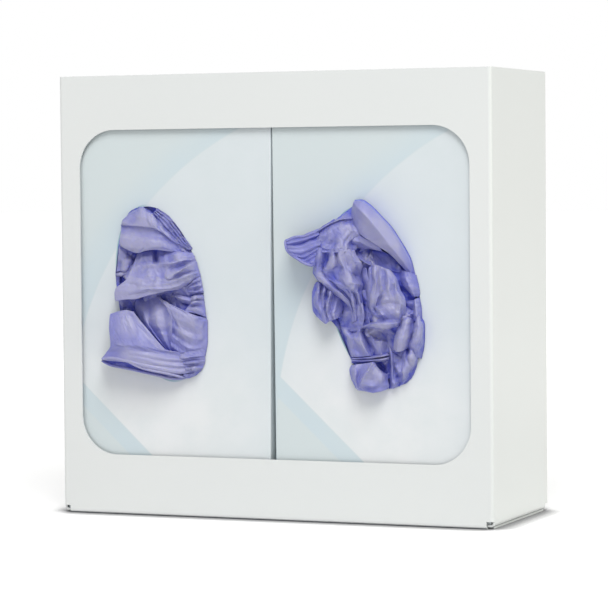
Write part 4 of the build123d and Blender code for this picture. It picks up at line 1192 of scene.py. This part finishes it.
         (391, 323.8, 13), (395, 323.3, 12), (398, 323, 11), (400, 323, 9), (401.5, 323.5, 5)],
        [(361, 327.5, 8), (367, 327, 10), (373, 326.8, 12), (380, 327.8, 12.5), (386, 327.8, 12),
         (390, 327, 11.5), (394, 326, 10.5), (397.5, 325, 9.5), (399.5, 324.5, 8), (401, 325, 4)],
        [(361, 329, 3), (367, 329, 4), (373, 328.5, 5), (380, 329.3, 6), (386, 329.3, 6), (390, 328.5, 5),
         (394, 327.5, 4), (397.5, 326.5, 3), (399.5, 326, 2), (400.5, 326, 1)],
        crisp=0.92, crumple=0.5, kinked=0.6,
    ),
    "right strip": fold(
        [(415.6, 275, 0.8), (418.1, 284, 0.8), (419.6, 293, 0.8), (417.6, 297, 0.8)],
        [(408, 272, 3), (411, 280, 4.5), (414, 289, 4), (415, 296, 2.5)],
        [(403, 271, 3), (406, 279, 5.5), (410, 287, 5.5), (414.5, 296.5, 3)],
        [(399, 272, 1), (401, 280, 3), (406, 288, 4), (413, 296, 3)],
        crisp=0.8, crumple=0.5,
    ),
    "lobe": fold(
        [(315, 284, 9), (312.7, 292, 9), (312.5, 302, 9), (313.5, 311, 9), (317, 317, 9)],
        [(317, 282, 9), (315, 292, 10), (314.5, 302, 11.5), (316, 311, 12), (319.5, 319, 11)],
        [(319.5, 283, 12), (318, 292, 13.5), (317.5, 300, 13), (319, 311, 13.5), (323, 322, 11)],
        [(322, 285, 9), (320.5, 293, 9.5), (320.5, 301, 11), (321.5, 311, 13.5), (325, 323.5, 12)],
        [(325, 286.5, 12), (323.5, 294, 13.5), (323, 302, 13.5), (324, 311, 13), (326.5, 323, 12)],
        [(327.5, 288, 8.5), (326, 296, 9), (325.5, 303, 10.5), (325.5, 312, 11), (328, 321.5, 11)],
        [(331, 290, 11.5), (329, 298, 13.5), (327.5, 305, 14), (326.5, 312, 13), (330, 320.5, 12)],
        [(335, 292.5, 6), (332.5, 300, 7.5), (331, 306, 8.5), (330.5, 313, 9.5), (333, 319.5, 9)],
        [(339, 296, 6.5), (336.5, 302, 8), (334.5, 308, 9.5), (333.5, 313, 10.5), (335.5, 318.5, 9.5)],
        [(342.5, 299, 3), (340, 304, 5), (338.5, 310, 6.5), (337, 314, 7.5), (338.5, 317.5, 6.5)],
        [(346, 301, 2), (344, 305, 3), (342, 310, 4), (341, 314, 4.5), (340.5, 317, 3.5)],
        crisp=0.9, crumple=0.45, kinked=0.5,
    ),
    "middle left": fold(
        [(344, 302, 4), (341, 312, 1.5), (338.5, 321, 0), (341, 329, 0)],
        [(350, 303, 7), (346, 313, 5), (344, 322, 3.5), (347, 330, 3)],
        [(354, 303, 8), (352, 314, 6.5), (351, 323, 5), (352, 331, 4.5)],
        [(357, 304, 9.5), (358, 315, 8.5), (358, 324, 8), (359, 329, 7)],
        [(362, 303, 10.5), (364, 314, 9), (363, 323, 8), (362, 328, 8)],
        crisp=0.8, crumple=0.6,
    ),
    "star facets": fold(
        [(339, 326, -1), (343, 327, 3), (348, 328, 5), (352, 328.5, 4.5), (356, 328.5, 6), (360, 329, 7),
         (364, 329.5, 3), (370, 329.5, 2), (378, 330, 1), (388, 330, 0)],
        [(341, 332, -1), (345.5, 332, 5), (348.5, 331.5, 3.5), (352, 332, 2.5), (355.5, 332, 3.5),
         (359.3, 331, 8), (362.5, 332, 1.5), (366, 332.5, 5), (376, 333, -1), (388, 334, -1)],
        [(343.3, 338, -1), (348, 336.5, 4.5), (350.5, 337.5, 6), (352, 338.5, 7), (354, 337.5, 6.5),
         (360.7, 338, 8), (365.5, 338, 1), (372, 337, 6.5), (380, 338, -0.5), (388, 338, -1)],
        [(344.3, 341, -1), (348, 341, 3.5), (350, 341.5, 5), (352.3, 341.5, 6), (356, 341.5, 5.5),
         (361.5, 341.5, 8), (367, 341.5, 1), (371.5, 341, 5), (379, 341, 7), (386.5, 342, 3)],
        [(347, 348, -1), (350, 348, 3), (351.5, 348, 4.5), (354, 348, 5), (358, 348, 4.5), (364.5, 348, 7.5),
         (370.5, 348, 0.5), (374, 347.5, 5), (380, 348, 6), (388, 348, 2)],
        [(350, 356, -1), (352, 356.5, 3), (354, 356.5, 4.5), (357, 356.5, 5), (361, 356.5, 4.5),
         (369, 355.5, 6.5), (374.5, 356, 1), (377, 355.5, 4), (382, 355, 5), (389, 355, 1)],
        crisp=0.95, crumple=0.32, kinked=0.9,
    ),
    "rolled fold": fold(
        [(352, 358, 2.5), (362, 357, 3), (370, 356.5, 4), (380, 355.5, 4.5), (388, 353.5, 4)],
        [(352, 358.8, 3.5), (362, 358.3, 5), (370, 357.8, 7.5), (380, 356.6, 8), (388.5, 354.8, 7)],
        [(352, 359.6, 2.5), (362, 359.5, 3), (372, 359, 5), (381, 357.6, 3.5), (389, 356.3, 3.5)],
        [(352, 360.8, 4.5), (363, 361, 5.5), (372, 360.5, 8), (381, 359.6, 8), (388.5, 358, 7)],
        [(352, 362.5, 3), (363, 362.5, 3.5), (372, 362, 4), (380, 361.5, 4), (388, 360, 2)],
        crisp=0.7, crumple=0.2, kinked=0.4,
    ),
    "bottom flap": fold(
        [(351, 366, 6.5), (356, 365, 9), (362, 364.3, 8), (368, 363.5, 9), (373, 362.3, 10.5), (375.5, 364, 7),
         (377, 366, 5), (378.5, 368, 3.5)],
        [(349.8, 369.5, 7.5), (355, 369.5, 11), (361, 369.5, 9), (366.5, 369.5, 10), (370, 367.5, 14.5),
         (374.5, 368.5, 10), (379, 370.5, 7), (383, 371.8, 3.5)],
        [(350.5, 374, 8), (356, 374, 12), (360, 374.5, 9), (363.5, 374.5, 11), (367, 372, 15.5),
         (373.5, 374, 10.5), (381, 374.5, 8.5), (386.5, 374.5, 3.5)],
        [(352, 380, 8), (355.5, 380, 12), (358, 380, 9.5), (360.5, 380, 11.5), (362.5, 378, 15.8),
         (372, 380, 9.5), (381, 380, 9.5), (387.5, 380, 3.5)],
        [(355, 385.5, 7.5), (357, 385.5, 11), (358.5, 385.5, 10), (359.5, 385, 11.5), (361, 384, 14.3),
         (371, 386.5, 11.5), (380, 385.8, 8), (388.5, 385, 4.5)],
        [(356, 388, 7), (357.3, 388, 10), (358.3, 388, 10), (359.3, 387.8, 10.8), (361, 387.5, 11.8),
         (371, 388.3, 9), (380, 387.5, 7.5), (388.5, 386.5, 4)],
        [(357.5, 389.5, 6.5), (359, 390, 8.5), (361, 390.3, 9.5), (363, 390.7, 9.5), (366, 391.3, 9.8),
         (373, 392.5, 8.5), (381, 391, 7.5), (388, 388.5, 3.5)],
        crisp=0.95, crumple=0.3, kinked=0.95,
    ),
    "finger": fold(
        [(401, 322, 5), (397, 331, 6), (394.5, 341, 7), (394, 350, 7)],
        [(404, 319, 8), (401, 330, 11), (398, 341, 12), (397, 351.5, 10.5)],
        [(407, 318, 8.5), (405, 329, 11.5), (402, 340, 12), (401, 351, 10)],
        [(410, 318, 7), (409, 328, 9), (406.5, 339, 9.5), (405, 349, 8)],
        [(413, 320, 3), (413, 328, 5), (410.5, 338, 6), (409, 347, 5)],
        crisp=0.85, crumple=0.36,
    ),
    "outer finger": fold(
        [(419.2, 314, 0.8), (424, 323, 0.8), (424.4, 335, 0.8), (423.7, 347, 0.8), (421.2, 358, 0.8)],
        [(418, 315, 4), (421, 324, 8), (421, 335, 8.5), (419.5, 346, 8), (418, 357, 4)],
        [(417, 317, 5), (418, 326, 10), (417.5, 336, 10.5), (415.5, 346, 10), (415, 357, 5.5)],
        [(416, 320, 4), (415, 328, 8), (414, 337, 9), (411.5, 345, 9), (411, 356, 5)],
        [(415, 322, 1), (413, 330, 4), (411.5, 338, 5), (409, 344, 6), (409, 353, 3)],
        crisp=0.85, crumple=0.36,
    ),
    "lower right": fold(
        [(388, 345, 2), (390, 348, 6), (393, 352, 3), (398, 353, 2), (402, 352, 1.5), (405, 350, 6),
         (408, 349, 2), (411, 349, 7), (415, 350, 6)],
        [(389, 354, 2), (391, 355, 6.5), (394, 356, 4), (399, 356.5, 4), (402.5, 356, 3), (405, 355, 7),
         (407.5, 356, 4.5), (410.5, 356, 7.5), (417, 356, 4)],
        [(389.5, 360, 1.5), (391.5, 360, 6.5), (394, 361, 4.5), (399, 361, 5), (402.8, 360, 4),
         (404.5, 360, 7.5), (407.5, 361, 6), (411, 362, 6.5), (417, 362, 2)],
        [(390, 366, 1), (392, 366, 6), (394, 366, 3), (396.5, 367.5, 7), (402, 367, 5.5), (404, 366, 8),
         (408, 366.5, 7), (411, 367, 3.5), (416, 367, 0)],
        [(390, 372, 1), (392, 372, 6.5), (394.5, 372, 3), (398, 371, 7), (401, 373, 7.5), (403, 372, 8.5),
         (406.5, 371.5, 6), (410, 371.5, 3.5), (414, 372, -0.5)],
        [(390, 378, 1), (391.8, 378, 6.5), (394.5, 378, 5), (397.5, 376, 1.5), (401, 377, 4.5),
         (403.5, 377, 7.5), (406, 376, 3), (408.5, 376, 2.5), (411.5, 377, -0.5)],
        [(390, 384, 1), (392, 384, 6), (395, 384, 6.5), (397, 383, 5.5), (399.5, 383, 1), (401.5, 382, 2.5),
         (404, 381, 3), (406, 380.5, 2), (408, 381, -0.5)],
        [(389, 388, 0), (391.5, 388, 3), (394, 388, 3.5), (396, 387, 3), (398.5, 386, 0.5), (400.5, 385, 1),
         (402.5, 384.3, 1.5), (404, 383.8, 0.5), (406, 383, -0.5)],
        crisp=0.85, crumple=0.4, kinked=0.8,
    ),
    "side strips": fold(
        [(403, 300, 1), (409, 301, 2), (419, 300, 0.8)],
        [(404, 304, 2), (410, 303, 4), (420, 303, 1)],
        [(404, 310, 0), (410, 310, 0), (421, 311, 0.8)],
        [(403, 313, 3), (409, 313.5, 4), (418, 313, 2)],
        [(403, 316, 1), (409, 317, 2), (418, 317, 1)],
        crisp=0.8, crumple=0.3,
    ),
    "thin finger": fold(
        [(419.2, 298, 0.8), (421.2, 308, 0.8), (421.7, 318, 0.8)],
        [(414.5, 300, 4), (416, 310, 6), (416.5, 320, 5)],
        [(413, 303, 1), (413.5, 312, 3), (414, 321, 3)],
        crisp=0.4, crumple=0.4,
    ),
}
right_rims = {
    "fan rim": [(285.5, 240, 17), (285.5, 244, 18.5), (287, 250, 19), (291, 254.5, 18.5), (297, 258.5, 19),
        (304, 263, 18.5), (309, 265, 18), (314, 265.5, 15)],
}


# %% [markdown]
# ## From folds to a piece
#
# All folds of a glove are put into one mesh, whole arrays at a time. Solidify then gives the film its thickness on
# the inner side, so that the outer side stays where it was drawn. A glove is too fine for one piece, so it is made
# of a few. Each is listed with the flat size of a gathered sheet, a strip of flat film that is only pushed together:
# the width, length and area of the film that its folds take up. Only the area is used, printed beside the mesh's own.


# %% Make both gloves
def joined(parts):
    """One set of points, faces and values from several, with the faces counted on after each other."""
    counts = np.cumsum([0] + [len(points) for points, _, _ in parts])
    points = np.concatenate([points for points, _, _ in parts])
    faces = np.concatenate([faces + count for (_, faces, _), count in zip(parts, counts)])
    return points, faces, np.concatenate([values for _, _, values in parts])


def film_mesh(name, points, faces, values):
    """Mesh of four-cornered faces, smooth, with the crease values kept at its points."""
    mesh = bpy.data.meshes.new(name)
    mesh.vertices.add(len(points))
    mesh.vertices.foreach_set("co", points.astype(np.float32).ravel())
    mesh.loops.add(faces.size)
    mesh.loops.foreach_set("vertex_index", faces.astype(np.int32).ravel())
    mesh.polygons.add(len(faces))
    mesh.polygons.foreach_set("loop_start", np.arange(0, faces.size, 4, dtype=np.int32))
    mesh.polygons.foreach_set("use_smooth", np.ones(len(faces), bool))
    mesh.update(calc_edges=True)
    for name, column in (("painted_light_level", values[:, 0]), ("crumpled", values[:, 1])):
        kept = mesh.attributes.new(name, "FLOAT", "POINT")
        kept.data.foreach_set("value", column.astype(np.float32))
    return mesh


def mesh_area(mesh):
    """Sum of the areas of a mesh's faces."""
    areas = np.zeros(len(mesh.polygons), np.float32)
    mesh.polygons.foreach_get("area", areas)
    return float(areas.sum())


film_flat = {
    "left": (
        (0.052, 0.100, 0.0051),
        (0.069, 0.132, 0.0090),
        (0.047, 0.092, 0.0042),
        (0.058, 0.112, 0.0063),
    ),
    "right": (
        (0.052, 0.100, 0.0051),
        (0.063, 0.122, 0.0075),
        (0.046, 0.087, 0.0039),
        (0.062, 0.121, 0.0074),
        (0.052, 0.102, 0.0051),
    ),
}


def make_glove(side, folds, rims, seed):
    """The glove that hangs out of one opening, in place of its CAD solid, as a few pieces that lie together."""
    parts = [throat_film(side, seed)]
    for index, made in enumerate(folds.values()):
        parts.append(film_fold(made, side, seed + 1 + index))
    for points in rims.values():
        parts.append(rolled_rim(points, side))
    counts = np.cumsum([len(faces) for _, faces, _ in parts])
    pieces = len(film_flat[side])
    ends = np.cumsum([len(points) for points, _, _ in parts])[:-1]
    painted_light_all = np.split(painted_light_values(side, *joined(parts)[::2]), ends)
    share = np.minimum((counts - 1) * pieces // counts[-1], pieces - 1)
    for piece in range(pieces):
        chosen = [
            (points, faces, values)
            for (points, faces, _), values, place in zip(parts, painted_light_all, share)
            if place == piece
        ]
        name = side + "_glove_film_" + str(piece + 1)
        mesh = film_mesh(name, *joined(chosen))
        mesh.materials.append(film.material)
        glove = bpy.data.objects.new(name, mesh)
        bpy.context.scene.collection.objects.link(glove)
        solid = glove.modifiers.new("film thickness", "SOLIDIFY")
        solid.thickness = film_thickness
        solid.offset = -1.0
        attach(glove, "root")
        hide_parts(side + "_pulled_glove")
        width, length, area = film_flat[side][piece]
        print(name, len(mesh.polygons), "faces, film area", round(mesh_area(mesh), 5), "of", area, "square metres")


make_glove("left", left_folds, left_rims, 11)
make_glove("right", right_folds, right_rims, 47)

# %% [markdown]
# ## The piles of gloves
#
# Behind each pulled glove the carton is full of folded gloves, laid on each other like tissues. From outside only a
# little of the pile could ever show, but it is made all the same: a closed box-like surface whose sides swell out
# once for each folded layer and whose outline is a little uneven from layer to layer.

# %% Make both piles
pile_layers = 22
pile_swell = 1.1 * MM
pile_corner = 9.0 * MM


def rounded_outline(half_x, half_z, corner, count):
    """Outline of a rectangle with round corners, as a circle pushed out to it: the p-norm circle with p large."""
    turn = np.linspace(0.0, 2 * math.pi, count + 1)
    power = 2.0 / (2.0 + min(half_x, half_z) / corner)
    x = np.sign(np.cos(turn)) * np.abs(np.cos(turn)) ** power
    z = np.sign(np.sin(turn)) * np.abs(np.sin(turn)) ** power
    return half_x * x, half_z * z


def glove_pile(side, seed):
    """Pile whose depth runs along Y: rings shrink to the middle at the front and the back, and swell once per layer."""
    low, high = (np.array(corner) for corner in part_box(side + "_glove_stack"))
    middle, half = (low + high) / 2, (high - low) / 2 - pile_swell
    deep = np.linspace(0.0, 1.0, pile_layers * 8 + 1)
    cap = np.linspace(0.03, 0.97, 24)
    share = np.concatenate([cap, np.ones(len(deep)), cap[::-1]])[:, None]
    depth = np.concatenate([np.zeros(len(cap)), deep, np.ones(len(cap))])[:, None]
    x, z = rounded_outline(half[0], half[2], pile_corner, 240)
    side_turn = np.linspace(0.0, 2 * math.pi, len(x))[None, :]
    layer = np.abs(np.sin(math.pi * pile_layers * depth)) ** 0.5
    uneven = 0.5 + 0.5 * np.sin(3 * side_turn + 40.0 * np.floor(pile_layers * depth + 1e-6))
    grow = pile_swell * (layer * (0.6 + 0.4 * uneven) - 0.3)
    ring_x = (x + np.sign(x) * grow * 0.7) * share
    ring_z = (z + np.sign(z) * grow * 0.7) * share
    wave = crumple_height(middle[0] + ring_x, middle[2] + ring_z, seed)
    front = np.where(depth < 0.5, 1.0, -1.0) * np.where(share < 1.0, 1.0, 0.0)
    ring_y = low[1] + (high[1] - low[1]) * (0.02 + 0.96 * depth) + (0.5 + 0.4 * wave) * front * MM
    places = np.stack([middle[0] + ring_x, ring_y + 0 * ring_x, middle[2] + ring_z], axis=-1)
    places[:, -1] = places[:, 0]
    # Painted light and shade on the pile: paler where its waves stand out, darker where they sink.
    painted_light_level = np.clip(0.4 + 0.3 * wave, 0, 1).ravel()
    return places.reshape(-1, 3), grid_faces(*ring_x.shape), np.column_stack([painted_light_level, np.full(painted_light_level.size, 0.5)])


def make_pile(side, seed):
    """The pile as an object, in place of its CAD solid."""
    mesh = film_mesh(side + "_glove_pile", *glove_pile(side, seed))
    mesh.materials.append(film.material)
    pile = bpy.data.objects.new(side + "_glove_pile", mesh)
    bpy.context.scene.collection.objects.link(pile)
    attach(pile, "root")
    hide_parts(side + "_glove_stack")
    print(pile.name, len(mesh.polygons), "faces")
    return pile


make_pile("left", 5)
make_pile("right", 6)

# %% [markdown]
# ## Look of the picture
#
# The Standard view shows a colour as it is written.

# %% Finish
bpy.context.scene.view_settings.view_transform = "Standard"
